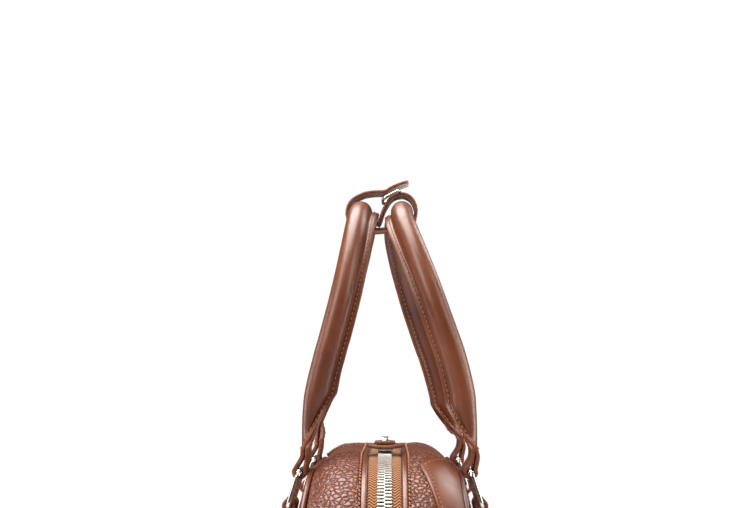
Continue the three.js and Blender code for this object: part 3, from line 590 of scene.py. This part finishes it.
for name, side in bothSides:
    count, steps = sidePanel["sectors"], sidePanel["pipeSteps"]
    shares = [1 - (k / sidePanel["shares"]) ** 1.15 * 0.97 for k in range(sidePanel["shares"] + 1)]
    points = [sidePanelPlace(side, s, share) for share in shares for s in range(count)]
    points.append(sidePanelPlace(side, 0, 0))
    faces = ringFaces(len(shares), count)
    inmost = (len(shares) - 1) * count
    faces += [(inmost + s, inmost + (s + 1) % count, len(points) - 1) for s in range(count)]
    if side > 0:
        faces = [face[::-1] for face in faces]
    panel = makeObject(f"side_{name}", points, faces, [cowhide, edgePaintAndHighlight])
    addModifier(panel, "SOLIDIFY", thickness=body["wall"] * 0.001, offset=-1, material_offset_rim=1)
    dress(panel, "grained_leather", f"side_panel_{name}")
    line = [seamPoint((k / steps * 2 - 1) * outlineHalf, side) for k in range(steps)]
    dress(wireLoop(f"pipe_{name}", line, body["pipe"], 14, acrossBag, pipingCalf),
          "edge_leather", f"piping_{name}")
print("side panels and piping made")


# The band: gussets on top, end panels round the shoulders and the base
def leatherAt(distance, x, lift=0):
    return bandPoint(distance, x, bandRelief(distance, x) + lift)


for name, side in bothSides:
    def gussetSurface(u, v):
        distance = mix(-body["endSeam"], body["endSeam"], u)
        return leatherAt(distance, mix(side * slotHalf, side * bandLimit(distance), v))

    dress(leatherSheet(f"gusset_{name}", gussetSurface, 44, 16, body["wall"], [calf, edgePaintAndHighlight]),
          "smooth_leather", f"top_gusset_{name}")

endPanel = {"rows": 104, "beside": 22, "across": 8}  # columns beside the zip's slot and across it
for name, end in bothEnds:
    start, stop = body["endSeam"] + body["gap"], footDistance - body["gap"]
    beside, across = endPanel["beside"], endPanel["across"]
    total = 2 * beside + across

    def endSurface(u, v):
        distance = end * mix(start, stop, u)
        limit = bandLimit(distance)
        k = v * total - beside
        if k < 0:
            x = mix(-slotHalf, -limit, -k / beside)
        elif k > across:
            x = mix(slotHalf, limit, (k - across) / beside)
        else:
            x = mix(-slotHalf, slotHalf, k / across)
        return leatherAt(distance, x)

    def inSlot(u, v):
        return mix(start, stop, u) < zipHalf and beside <= round(v * total) < beside + across

    dress(leatherSheet(f"end_{name}", endSurface, endPanel["rows"], total, body["wall"],
                       [cowhide, edgePaintAndHighlight], inSlot), "grained_leather", f"end_panel_{name}")


def baseSurface(u, v):
    x = mix(-1, 1, v) * (body["baseHalf"] - body["pipe"] - body["gap"])
    reach = baseHalfLength - body["gap"]
    return Vector((x, mix(-reach, reach, u), crownDrop(x, 0)))


dress(leatherSheet("base", baseSurface, 60, 40, body["wall"], [cowhide, edgePaintAndHighlight]),
      "grained_leather", "base_panel")
print("band made")

# Patches on the end panels: inner gives the inner edge's share of the half width at the top, the
# middle and the foot; top and foot are shares of the seam's way from crest to base.
patch = {
    "thickness": 1.6, "lift": 2.2,
    "high": {"side": 1, "inner": (0.46, 0.76, 0.88), "top": (0.175, 0.05), "foot": 0.67,
             "seam": 0.11},
    "low": {"side": -1, "inner": (0.72, 0.8, 0.9), "top": (0.345, 0.3), "foot": 0.76,
            "seam": 0.2},
}


def patchPoint(end, form, u, v, lift):
    share = mix(mix(*form["top"], v), form["foot"], u)
    distance = body["endSeam"] + 2 * body["gap"] + share * (footDistance - body["endSeam"])
    first, middle, last = form["inner"]
    control = 2 * middle - (first + last) / 2
    inner = (1 - u) ** 2 * first + 2 * u * (1 - u) * control + u ** 2 * last
    limit = bandLimit(distance)
    x = -end * form["side"] * mix(inner * limit, limit, v)
    distance *= end
    return bandPoint(distance, x, bandRelief(distance, x) * 0.9) + bandOut(distance, x) * lift


patchRows = []
for kind in ("high", "low"):
    for name, end in bothEnds:
        form = patch[kind]
        dress(leatherSheet(f"overlay_{kind}_{name}",
                           lambda u, v: patchPoint(end, form, u, v, patch["lift"] - 0.3),
                           44, 12, patch["thickness"], [calf, edgePaintAndHighlight], edgeRound=0.45),
              "smooth_leather", f"patch_{kind}_{name}")
        innerSeam = [(0.03 + 0.95 * k / 60, form["seam"]) for k in range(61)]
        topSeam = [(0.03, mix(0.14, 0.97, k / 20)) for k in range(21)]
        for seam in (innerSeam, topSeam):
            patchRows.append([
                (patchPoint(end, form, u, v, patch["lift"] - 0.2),
                 (patchPoint(end, form, u, v, 3) - patchPoint(end, form, u, v, 2)).normalized())
                for u, v in seam])

# The crest seams between gussets and end panels
for end in (-1, 1):
    distance = end * (body["endSeam"] - 2.2)
    for side in (-1, 1):
        across = [side * mix(slotHalf + 1, bandLimit(distance) - 1, k / 30) for k in range(31)]
        patchRows.append([(leatherAt(distance, x, stitchLift), bandOut(distance, x))
                          for x in across])
sew("patch_stitches", patchRows, fineStitch)
print("patches made")

# Zip: tapes, bindings, teeth and the thick stitches beside the bindings
zipSizes = {"sink": 1.2, "tape": 1.0, "rise": 0.7, "rows": 260, "columns": 5, "stagger": 1.25}


def zipLine(x, rise, start=-zipHalf, end=zipHalf):
    places = [mix(start, end, k / 300) for k in range(301)]
    return [(bandPoint(distance, x, rise), bandOut(distance, x)) for distance in places]


for name, side in bothSides:
    rows, columns = zipSizes["rows"], zipSizes["columns"]
    inner, outer = body["chainHalf"] + body["gap"] - 1.2, body["tapeHalf"] - body["gap"] + 0.2

    def tapeSurface(u, v):
        return bandPoint(mix(-zipHalf, zipHalf, u), side * mix(inner, outer, v),
                         -zipSizes["sink"] + 0.25 * sin(pi * v))

    tape = leatherSheet(f"tape_{name}", tapeSurface, rows, columns, zipSizes["tape"], [tapeCotton],
                        edgeRound=0.2)
    store = tape.data.uv_layers.new(name="tape").data
    for loop in tape.data.loops:
        i, j = divmod(loop.vertex_index, columns + 1)
        store[loop.index].uv = (i / rows * 2 * zipHalf, j / columns * (outer - inner))
    dress(tape, "zip_tape", f"zip_tape_{name}")

    def bindingSurface(u, v):
        distance = mix(-zipHalf, zipHalf, u)
        crown = sqrt(max(0, 1 - (2 * v - 1) ** 4))
        x = side * mix(body["tapeHalf"], body["tapeHalf"] + body["binding"], v)
        return bandPoint(distance, x, -1.4 + (2.1 + 0.12 * sin(distance * 1.9)) * crown)

    dress(leatherSheet(f"binding_{name}", bindingSurface, 300, 12, body["wall"] - 0.8,
                       [polishedCalf], edgeRound=0.2), "smooth_leather", f"zip_binding_{name}")

# The right row starts half a pitch later, so that the teeth interlock.
for name, side, start in (("left", -1, 0), ("right", 1, zipSizes["stagger"])):
    line = zipLine(side * 2.05, -0.2, start - zipHalf, zipHalf - zipSizes["stagger"] + start)
    if side > 0:
        line = line[::-1]
    dress(rowsAlong(f"teeth_{name}", toothTree, [line], zipTooth), "zip_metal",
          *(["zip_chain"] if side < 0 else []))

ropeRows = [zipLine(side * (slotHalf + 0.1), 0.75) for side in (-1, 1)]
sew("binding_stitches", ropeRows, ropeStitch)
print("zip made")

# Handles: a strap rolled round a cord, sewn into a flange, laid flat and turned round a ring
ring = {
    "wire": 3.6, "height": 22, "width": 31, "corner": 3, "stand": 6.4, "drop": 11, "clearance": 0.5,
}
tab = {"width": 25, "thickness": 2.2, "length": 36, "clearance": 0.7}
ringTop = body["height"] - ring["drop"]
ringReach = halfWidthAt(ringTop) + ring["stand"]
handle = {
    "spacing": 124, "rise": 179, "radius": 8, "flange": 5, "half": 1.5, "width": 26,
    "thickness": 2.6, "arch": 92, "footRise": 13, "ease": 1.05, "loopDrop": 0.3,
    "tongueStart": 0.45, "tongueEnd": 0.8, "tongueWidth": 0.12,
    "left": {"side": -1, "inset": 8.5, "top": 17.5, "sway": 7, "turn": 10, "roll": 37},
    "right": {"side": 1, "inset": 2.5, "top": 12.5, "sway": 7, "turn": 24, "roll": 28},
}
handleLean = [
    (0, 0, 0), (0.14, 0, 0), (0.24, 0.06, 0.03), (0.37, 0.25, 0.17), (0.53, 0.51, 0.4),
    (0.68, 0.71, 0.61), (0.81, 0.86, 0.8), (0.94, 0.97, 0.97), (1, 1, 1),
]
handleFoot = ringTop + handle["footRise"]
tubeTop = body["height"] + handle["rise"] - handle["radius"]


def leanAt(rise, column):
    for low, high in zip(handleLean, handleLean[1:]):
        if rise <= high[0]:
            return mix(low[column], high[column], max(0, rise - low[0]) / (high[0] - low[0]))
    return 1


def flatAt(own, z):
    return (1 - min(1, max(0, (z - handleFoot - 2) / own["roll"]))) ** handle["ease"]


def routeX(own, y, z):
    rise = (z - handleFoot) / (tubeTop - handleFoot)
    lean = mix(ringReach - own["inset"], own["top"], leanAt(rise, 1 if own["side"] < 0 else 2))
    sway = own["sway"] * sqrt(max(0, 4 * rise * (1 - rise))) * (0.5 + y / handle["spacing"])
    return own["side"] * lean - sway


def handleRoute(own):
    legTop = tubeTop - handle["arch"]
    reach = handle["spacing"] / 2
    legs = [0, 0.12, 0.24, 0.36, 0.48, 0.66, 0.84]
    flat = [(-reach, mix(handleFoot, legTop, s)) for s in legs]
    for k in range(13):
        turn = k / 12 * pi
        flat.append((-reach * cos(turn), legTop + handle["arch"] * sin(turn)))
    flat += [(reach, mix(handleFoot, legTop, s)) for s in reversed(legs)]
    return [Vector((routeX(own, y, z), y, z)) for y, z in flat]


# The strap's section, from the middle of its inner face round by its outer face, in rows of
# (rolled s, rolled b, flat s, flat b, material), where s runs to the flange and b across. Material
# 1 is the painted edge; from 2 on they are inside, and open sooner and sooner.
def handleSection():
    r, h, tip = handle["radius"], handle["half"], handle["radius"] + handle["flange"]
    out, edge = -r, handle["width"] / 2
    inn = out + handle["thickness"]
    half = []
    for k in range(14):
        turn = radians(mix(180, 17, k / 13))
        half.append((r * cos(turn), r * sin(turn), out, edge * 0.62 * k / 13, 0))
    half += [
        (r + 0.3, h * 0.8, out + 0.2, edge * 0.66, 0),
        (r + 1.0, h * 1.02, out, edge * 0.71, 0),
        (r + 2.6, h * 1.1, out - 0.05, edge * 0.81, 0),
        (r + 4.0, h * 1.05, out, edge * 0.93, 0),
        (tip - 0.3, h * 0.95, out + 0.12, edge * 0.985, 1),
        (tip - 0.02, h * 0.72, out + 0.5, edge, 1),
        (tip + 0.08, h * 0.45, (out + inn) / 2, edge * 1.005, 1),
        (tip - 0.05, h * 0.16, inn - 0.5, edge, 1),
        (tip - 0.6, h * 0.03, inn - 0.1, edge * 0.98, 2),
        (tip - 1.5, 0.03, inn, edge * 0.7, 2),
        (tip - 2.2, 0.02, inn, edge * 0.35, 3),
    ]
    rows = [(a, -b, c, -d, m) for a, b, c, d, m in half[:0:-1]]
    rows.append((half[0][0], 0, half[0][2], 0, half[0][4]))
    rows += half[1:]
    rows.append((half[-1][0], 0, half[-1][2], 0, 4))
    numbers = [row[4] for row in rows]
    painted = [(1, 1), (1, 2), (2, 1)]
    return rows, [int(pair in painted) for pair in zip(numbers, numbers[1:] + numbers[:1])]


# Where the strap lies and which way it faces, from one inner end over the arch to the other.
def handleFrames(own):
    side = own["side"]
    bend = ring["wire"] / 2 + ring["clearance"] + handle["thickness"] / 2
    outer = ringReach - own["inset"] + handle["radius"] - handle["thickness"] / 2
    loopTop = handleFoot - handle["loopDrop"] * handle["footRise"]
    tongueFoot = handleFoot + handle["tongueStart"] * handle["footRise"]
    inner = outer - handle["thickness"] - body["gap"]
    turns = [radians(25 - k * 23) for k in range(11)]
    corners = [(outer, handleFoot), (outer + 0.6, loopTop)]
    corners += [(ringReach + bend * cos(t), ringTop + bend * sin(t)) for t in turns]
    corners += [(inner, loopTop), (inner, tongueFoot)]
    middle = handle["radius"] - handle["thickness"] / 2

    # The strap's end, turned up inside the opened roll, narrows to a tongue.
    def loopFrames(y):
        tongue = []
        for share in (0.33, 0.67, 1):
            z = mix(tongueFoot, handleFoot + handle["tongueEnd"] * own["roll"], share)
            x = routeX(own, y, z) + side * (inner - ringReach + own["inset"])
            tongue.append(Vector((x, y, z)))
        line = smoothLine([Vector((side * x, y, z)) for x, z in corners] + tongue, 1.1)
        frames = []
        for k, place in enumerate(line):
            down = wayAt(line, k)
            inward = Vector((down.z * side, 0, -down.x * side)).normalized()
            closed = 0 if k < len(line) / 2 else 1 - flatAt(own, place.z)
            narrow = max(handle["tongueWidth"], 1 - 1.7 * closed)
            inset = inward * (middle - min(5, 12 * closed))
            frames.append((place + inset, down, inward, 1, narrow))
        return frames[1:]

    route = smoothLine(handleRoute(own), 2.4)
    rolled = []
    for k, place in enumerate(route):
        along = wayAt(route, k)
        inward = Vector((-side, 0, 0))
        inward = (inward - along * inward.dot(along)).normalized()
        below = along.cross(inward).normalized() * -side
        flatness = flatAt(own, place.z)
        turn = radians(own["turn"]) * (1 - flatness)
        rolled.append((place, along, inward * cos(turn) + below * sin(turn), flatness, 1))
    near = [(place, -down, *rest) for place, down, *rest in loopFrames(-handle["spacing"] / 2)]
    return near[::-1] + rolled + loopFrames(handle["spacing"] / 2)


def atSection(at, s, b):
    place, along, flange = at[:3]
    wide = along.cross(flange).normalized()
    return place + flange * s + wide * b


def wornAt(place):
    return 1 + 0.012 * noise.noise(place * 0.05) + 0.008 * noise.noise(place * 0.17)


sectionRows, sectionPicks = handleSection()
handleStitchRows = []
for name, side in bothSides:
    frames = handleFrames(handle[name])
    rings = []
    for f in frames:
        worn = wornAt(f[0])
        opened = [f[3] ** sooner for sooner in (1, 1, 0.96, 0.72, 0.5)]
        rings.append([atSection(f, mix(a, c, opened[m]) * worn, mix(b, d, opened[m]) * f[4])
                      for a, b, c, d, m in sectionRows])
    dress(sweepSkin(f"grip_{name}", rings, [calf, edgePaintAndHighlight], sectionPicks),
          "smooth_leather", f"handle_{name}")
    for way in (-1, 1):
        line = []
        for f in frames:
            if f[3] < 0.999:
                s = mix(handle["radius"] + 1.8, -handle["radius"], f[3]) * wornAt(f[0])
                b = way * mix(handle["half"] * 1.06, handle["width"] / 2 * 0.76, f[3])
                wide = f[1].cross(f[2]).normalized()
                up = (wide * way * (1 - f[3]) - f[2] * f[3]).normalized()
                line.append((atSection(f, s, b) + up * stitchLift, up))
        handleStitchRows.append(line)
    # The tongues' own rows, just inside each lip of the opened roll
    for half in (frames[:len(frames) // 2][::-1], frames[len(frames) // 2:]):
        for way in (-1, 1):
            across = way * handle["width"] / 2 * 0.7
            handleStitchRows.append([(atSection(f, -handle["radius"] - 0.05, across * f[4]), -f[2])
                                     for f in half if f[4] < 0.97])
sew("handle_stitches", handleStitchRows, handleStitch)
print("handles made")


# Rings and the tabs that hold them
def sideReachAt(y, z):
    up = abs(z - sideMiddle) / (body["height"] - body["shoulderDrop"] - sideMiddle)
    along = abs(y) / (body["length"] / 2 - body["shoulderDrop"])
    return sidePoint(y, z, min(1, (up ** 3 + along ** 3) ** (1 / 3)))


tabY = (handle["spacing"] - tab["width"]) / 2
barReach = (sideReachAt(tabY, ringTop - ring["height"]) + tab["clearance"] + tab["thickness"]
            + ring["clearance"] + ring["wire"] / 2)
ringLean = asin((barReach - ringReach) / ring["height"])
barX = ringReach + ring["height"] * sin(ringLean)
barZ = ringTop - ring["height"] * cos(ringLean)


# A flat strap swept along a route, with painted round edges and a flesh side on its left.
def strapSkin(name, route, across, width, thickness, materials, tail=0):
    rings = []
    half, t = width / 2, thickness / 2
    right = [(0, t), (half - 0.5, t), (half - 0.12, t * 0.72), (half, 0), (half - 0.12, -t * 0.72),
             (half - 0.5, -t)]
    section = [(0.5 - half, t), *right, (0, -t), *[(-w, h) for w, h in right[:1:-1]]]
    picks = [0, 0, 1, 1, 1, 1, 2, 2, 1, 1, 1, 1]
    length = [0]
    for a, b in zip(route, route[1:]):
        length.append(length[-1] + (b - a).length)
    for k, place in enumerate(route):
        along = wayAt(route, k)
        out = across.cross(along).normalized()
        ends = min(length[k], length[-1] - length[k])
        narrow = 1
        if tail and ends < tail:
            narrow = sqrt(max(0.02, 1 - (1 - ends / tail) ** 2)) * 0.35 + 0.65
        rings.append([place + across * w * narrow + out * h for w, h in section])
    return sweepSkin(name, rings, materials, picks)


strapStitchRows = []
eye = ring["wire"] / 2 + ring["clearance"] + tab["thickness"] / 2
eyeTurns = [radians(205 - 23 * k) for k in range(11)]
tabFoot, tabNeck = barZ - tab["length"], barZ - 2 * tab["thickness"] - 1
for name, side in bothSides:
    for end, way in bothEnds:
        y = way * handle["spacing"] / 2
        loop = []
        for across, up in roundedOutline(ring["width"] / 2, ring["height"] / 2, ring["corner"], 6):
            down = ring["height"] / 2 - up
            loop.append(Vector((side * (ringReach + down * sin(ringLean)), y + across,
                                ringTop - down * cos(ringLean))))
        facing = Vector((side * cos(ringLean), 0, sin(ringLean)))
        dress(wireLoop(f"wire_{name}_{end}", smoothLine(loop, 1.0, True), ring["wire"] / 2, 18,
                       facing, nickel), "silver_metal", f"ring_{name}_{end}")

        inner = []
        for share in (0, 0.33, 0.67, 1):
            z = mix(tabFoot, tabNeck, share)
            inner.append((sideReachAt(tabY, z) + tab["clearance"] + tab["thickness"] / 2, z))
        around = [(barX + eye * cos(t), barZ + eye * sin(t)) for t in eyeTurns]
        outer = [(x + tab["thickness"], z) for x, z in reversed(inner)]
        route = smoothLine([Vector((side * x, y, z)) for x, z in inner + around + outer], 1.2)
        dress(strapSkin(f"loop_{name}_{end}", route, alongBag * -side, tab["width"],
                        tab["thickness"], [calf, edgePaintAndHighlight, calf], tail=9),
              "smooth_leather", f"ring_tab_{name}_{end}")
        for edge in (-1, 1):
            line = []
            for k in range(25):
                z = mix(tabFoot + 4, tabNeck + 1, k / 24)
                x = side * (sideReachAt(tabY, z) + tab["clearance"] + 2 * tab["thickness"] + 0.1)
                line.append((Vector((x, y + edge * (tab["width"] / 2 - 2.6), z)), acrossBag * side))
            strapStitchRows.append(line)
print("rings and tabs made")

# Keeper strap round both handles, and its buckle
# The route's rows: the handle that they go about, the angle there and the reach in radii.
keeper = {"width": 17, "thickness": 2.4, "clearance": 0.4}
keeperRoute = [
    ("right", 78, 2.36), ("right", 96, 2.09), ("right", 114, 2), ("left", 40, 2.4),
    ("left", 55, 1.83), ("left", 76, 1.45), ("left", 101, 1.19), ("left", 131, 1.1),
    ("left", 163, 1.05), ("left", 194, 1.08), ("left", 228, 1.11), ("left", 266, 1.05),
    ("left", 296, 1.3), ("left", 311, 1.75), ("right", 232, 1.55), ("right", 250, 1.22),
    ("right", 279, 1.08), ("right", 313, 1.09), ("right", 348, 1.04), ("right", 20, 1.08),
    ("right", 54, 1.22), ("right", 83, 1.33), ("right", 110, 1.34), ("right", 133, 1.32),
    ("right", 154, 1.3), ("right", 174, 1.4), ("right", 190, 1.58), ("right", 202, 1.82),
    ("right", 207, 2.08),
]
keeperRadius = handle["radius"] + keeper["clearance"] + keeper["thickness"] / 2
keeperFall = (handle["arch"] * (1 - sqrt(1 - (keeper["width"] / handle["spacing"]) ** 2))
              + keeper["clearance"])


def keeperPoint(about, angle, reach):
    turn = radians(angle)
    fall = keeperFall * max(0, -sin(turn))
    middle = handle[about]["side"] * handle[about]["top"]
    return Vector((middle + reach * keeperRadius * cos(turn), 0,
                   tubeTop + reach * keeperRadius * sin(turn) - fall))


keeperLine = smoothLine([keeperPoint(*row) for row in keeperRoute], 1.3)
dress(strapSkin("keeper", keeperLine, alongBag, keeper["width"], keeper["thickness"],
                [strapCalf, edgePaintAndHighlight, suede], tail=6), "smooth_leather", "keeper_strap")
for edge in (-1, 1):
    line = []
    for k in range(3, len(keeperLine) - 3):
        out = alongBag.cross(wayAt(keeperLine, k)).normalized()
        line.append((keeperLine[k] + out * (keeper["thickness"] / 2 + 0.05)
                     + alongBag * edge * (keeper["width"] / 2 - 2.2), out))
    strapStitchRows.append(line)
sew("strap_stitches", strapStitchRows, fineStitch)

buckle = {
    "length": 16, "width": 23, "wire": 2.2, "corner": 2.4, "prong": 2.4, "prongThickness": 1.2,
}
low, high = keeperPoint("right", 151, 1.77), keeperPoint("right", 94, 1.64)
buckleMiddle = (low + high) / 2
buckleAlong = (high - low).normalized()
buckleUp = Vector((-buckleAlong.z, 0, buckleAlong.x))
wireHalf = buckle["wire"] / 2
half, halfAcross = buckle["length"] / 2 - wireHalf, buckle["width"] / 2 - wireHalf
loop = [buckleMiddle + buckleAlong * a + alongBag * b
        for a, b in roundedOutline(half, halfAcross, buckle["corner"], 4)]
dress(wireLoop("buckle_wire", smoothLine(loop, 0.8, True), wireHalf, 14, buckleUp, nickel),
      "silver_metal", "buckle_frame")
prongLine = []
for k in range(15):
    share = k / 14
    along = buckleAlong * mix(-half + wireHalf + 0.3, half - wireHalf - 0.3, share)
    prongLine.append(buckleMiddle + along + buckleUp * (wireHalf + 0.2 * sin(pi * share)))
dress(strapSkin("prong", prongLine, alongBag, buckle["prong"], buckle["prongThickness"],
                [nickel] * 3), "silver_metal", "buckle_prong")
print("keeper strap and buckle made")

# Zip pull: a slider with a bridge, a wire link, and two tongues of leather
pull = {
    "sliderLength": 13, "sliderWidth": 10.5, "plate": 2.2, "bridgeWidth": 4.6, "bridgeHeight": 7.6,
    "bridge": 1.3, "wire": 1.5, "linkWidth": 8.5, "linkHeight": 5.2, "lift": 2.6, "place": -58,
    "tab": (24, 30, 2.3), "cap": (13.4, 20, 1.9), "curl": 1.5, "seam": (9.8, 12.5, 6),
}


# A tongue of leather, broad and round in front and narrower behind, curling up at its sides.
def tongueSheet(name, width, length, thickness, place):
    def surface(u, v):
        s = 2 * v - 1
        half = width / 2 * mix(0.66, 1, ease(u / 0.75))
        y = mix(length / 2, -length / 2 + 0.17 * length * s ** 4, u)
        return place(Vector((s * half, y, thickness + pull["curl"] * (s * half / 12) ** 2)))
    return leatherSheet(name, surface, 16, 16, thickness, [polishedCalf, edgePaintAndHighlight], edgeRound=0.6)


pullY, pullZ, pullOutY, pullOutZ = outlineAt(pull["place"])
pullTilt = atan2(-pullOutY, pullOutZ) * 0.9


def pullFrame(shiftY, lift):
    def place(p):
        y, z = p.y + shiftY, p.z + lift
        return Vector((p.x, pullY + y * cos(pullTilt) - z * sin(pullTilt),
                       pullZ + y * sin(pullTilt) + z * cos(pullTilt)))
    return place


tabLift = zipSizes["rise"] + pull["lift"]
capShift = (pull["tab"][1] - pull["cap"][1]) / 2
capLift = tabLift + pull["tab"][2] + body["gap"]
for name, part, place in (("tongue", "tab", pullFrame(0, tabLift)),
                          ("tongue_cap", "cap", pullFrame(capShift, capLift))):
    dress(tongueSheet(name, *pull[part], place), "smooth_leather", f"pull_{part}")

sliderY = pull["place"] + pull["tab"][1] / 2 + pull["sliderLength"] / 2 + 2 * pull["wire"]
sliderZ = body["height"] + body["gap"]
length, width = pull["sliderLength"] / 2, pull["sliderWidth"]
sliderShares = [(-0.34, -1), (0.34, -1), (0.48, -0.3), (0.5, 0.3), (0.36, 1), (0, 0.9), (-0.36, 1),
                (-0.5, 0.3), (-0.48, -0.3)]
points = [(width * a, sliderY + length * b, sliderZ + h) for h in (0, pull["plate"])
          for a, b in sliderShares]
count = len(sliderShares)
faces = [tuple(range(count - 1, -1, -1)), tuple(range(count, 2 * count)), *ringFaces(2, count)]
plate = makeObject("slider", points, faces, [nickel])
roundEdges(plate, 0.5, 3, 50)
dress(plate, "silver_metal", "zip_slider")

reach = length - 1 - pull["bridge"] / 2
rise = pull["bridgeHeight"] - pull["bridge"] / 2 + 0.2
arch = []
for k in range(17):
    turn = pi * k / 16
    arch.append(Vector((0, sliderY - reach * cos(turn),
                        sliderZ + pull["plate"] - 0.4 + rise * sin(turn) ** 0.55)))
dress(strapSkin("slider_bridge", arch, acrossBag, pull["bridgeWidth"], pull["bridge"],
                [nickel] * 3), "silver_metal")

front = sliderY - length - 2 * pull["wire"] + pull["wire"] / 2 + 0.6
back = sliderY - length + 1 + pull["bridge"] + pull["wire"] / 2 + 0.3
w = pull["linkWidth"] / 2
corners = [Vector((x, y, sliderZ + pull["linkHeight"])) for x, y in (
    (1 - w, front), (w - 1, front), (w, front + 1), (w, back - 1), (w - 1, back), (1 - w, back),
    (-w, back - 1), (-w, front + 1))]
dress(wireLoop("link", smoothLine(corners, 0.7, True), pull["wire"] / 2, 10, upward, nickel),
      "silver_metal", "pull_link")

# The tongue's stitches follow its sides and curve round its front.
half, end, corner = pull["seam"]
front = [(-half, corner - end), (-half * 0.5, 0.4 - end), (0, -end - 0.1), (half * 0.5, 0.4 - end),
         (half, corner - end)]
front = smoothLine([Vector((x, y, 0)) for x, y in front], 1.2)
place = pullFrame(0, tabLift + pull["tab"][2] + 0.1)
up = Vector((0, -sin(pullTilt), cos(pullTilt)))
line = [(place(Vector((p.x, p.y, pull["curl"] * (p.x / 12) ** 2))), up)
        for p in (Vector((-half * 0.62, end, 0)), *front, Vector((half * 0.62, end, 0)))]
sew("tongue_stitches", [line], fineStitch)
print("zip pull made")

# Studio: a pale floor, a white surround, a large soft light on each side and one overhead. Each
# lamp has its place, aim, size and power.
studio = {
    "floor": 1.1, "surround": 0.1, "backdrop": 1.02, "fade": (0.4, 0.95), "sink": 0.0004,
    "lampColour": (1, 0.965, 0.92),  # a little warm
    "lamps": {
        "key": ((-1.0, -0.95, 0.95), (0, -0.1, 0.17), (0.5, 1.0), 12),
        "fill": ((1.1, -0.7, 0.9), (0, -0.1, 0.17), (0.4, 1.0), 7),
        "overhead": ((-0.28, 0.03, 1.35), (0, 0, 0.2), (1.3, 0.9), 34),
        "high right": ((0.75, 0.5, 1.0), (0, 0, 0.17), (0.45, 0.6), 5),
        "right rim": ((1.2, 0.1, 0.35), (0, 0, 0.17), (0.5, 0.7), 8),
        "left rim": ((-1.2, 0.1, 0.35), (0, 0, 0.17), (0.5, 0.7), 5),
    },
    "camera": {"lens": 1006 / 750 * 36, "place": (0.004, -0.732, 0.219), "turn": (97.81, 0, 0.9)},
}
r, low = studio["floor"], -studio["sink"]
floorMesh = bpy.data.meshes.new("floor")
floorMesh.from_pydata([(-r, -r, low), (r, -r, low), (r, r, low), (-r, r, low)], [], [(0, 1, 2, 3)])
floor = linkNew("floor", floorMesh)
# Pale matt paper that fades into the white surround before its edge
paper, tree, shader, place = newMaterial("pale matt backdrop paper", {
    "Base Color": colour("#d8dbe0"), "Roughness": 0.85})
away = addNode(tree, "ShaderNodeVectorMath", {0: place}, operation="LENGTH").outputs["Value"]
fade = addNode(tree, "ShaderNodeMapRange", {
    0: away, 1: studio["fade"][0] * r, 2: studio["fade"][1] * r}, interpolation_type="SMOOTHSTEP")
clear = addNode(tree, "ShaderNodeBsdfTransparent")
faded = addNode(tree, "ShaderNodeMixShader", {0: fade, 1: shader, 2: clear})
tree.links.new(faded.outputs[0], tree.nodes["Material Output"].inputs["Surface"])
floorMesh.materials.append(paper)

world = bpy.data.worlds.new("studio surround")
world.use_nodes = True
bpy.context.scene.world = world
sky = world.node_tree
path = addNode(sky, "ShaderNodeLightPath").outputs["Is Camera Ray"]
shown = addNode(sky, "ShaderNodeMapRange", {
    "Value": path, "To Min": studio["surround"], "To Max": studio["backdrop"]})
sky.nodes["Background"].inputs["Color"].default_value = (1, 1, 1, 1)
sky.links.new(shown.outputs["Result"], sky.nodes["Background"].inputs["Strength"])

for name, (place, aim, size, power) in studio["lamps"].items():
    lamp = linkNew(name + " softbox", bpy.data.lights.new(name + " softbox", "AREA"))
    lamp.data.shape = "RECTANGLE"
    lamp.data.size, lamp.data.size_y = size
    lamp.data.energy = power
    lamp.data.color = studio["lampColour"]
    lamp.location = place
    lamp.rotation_euler = (Vector(aim) - Vector(place)).to_track_quat("-Z", "Y").to_euler()

camera = linkNew("camera", bpy.data.cameras.new("camera"))
camera.data.sensor_width = 36
camera.data.lens = studio["camera"]["lens"]
camera.location = studio["camera"]["place"]
camera.rotation_euler = [radians(turn) for turn in studio["camera"]["turn"]]
bpy.context.scene.camera = camera
bpy.context.scene.view_settings.view_transform = "Standard"
print("studio made")
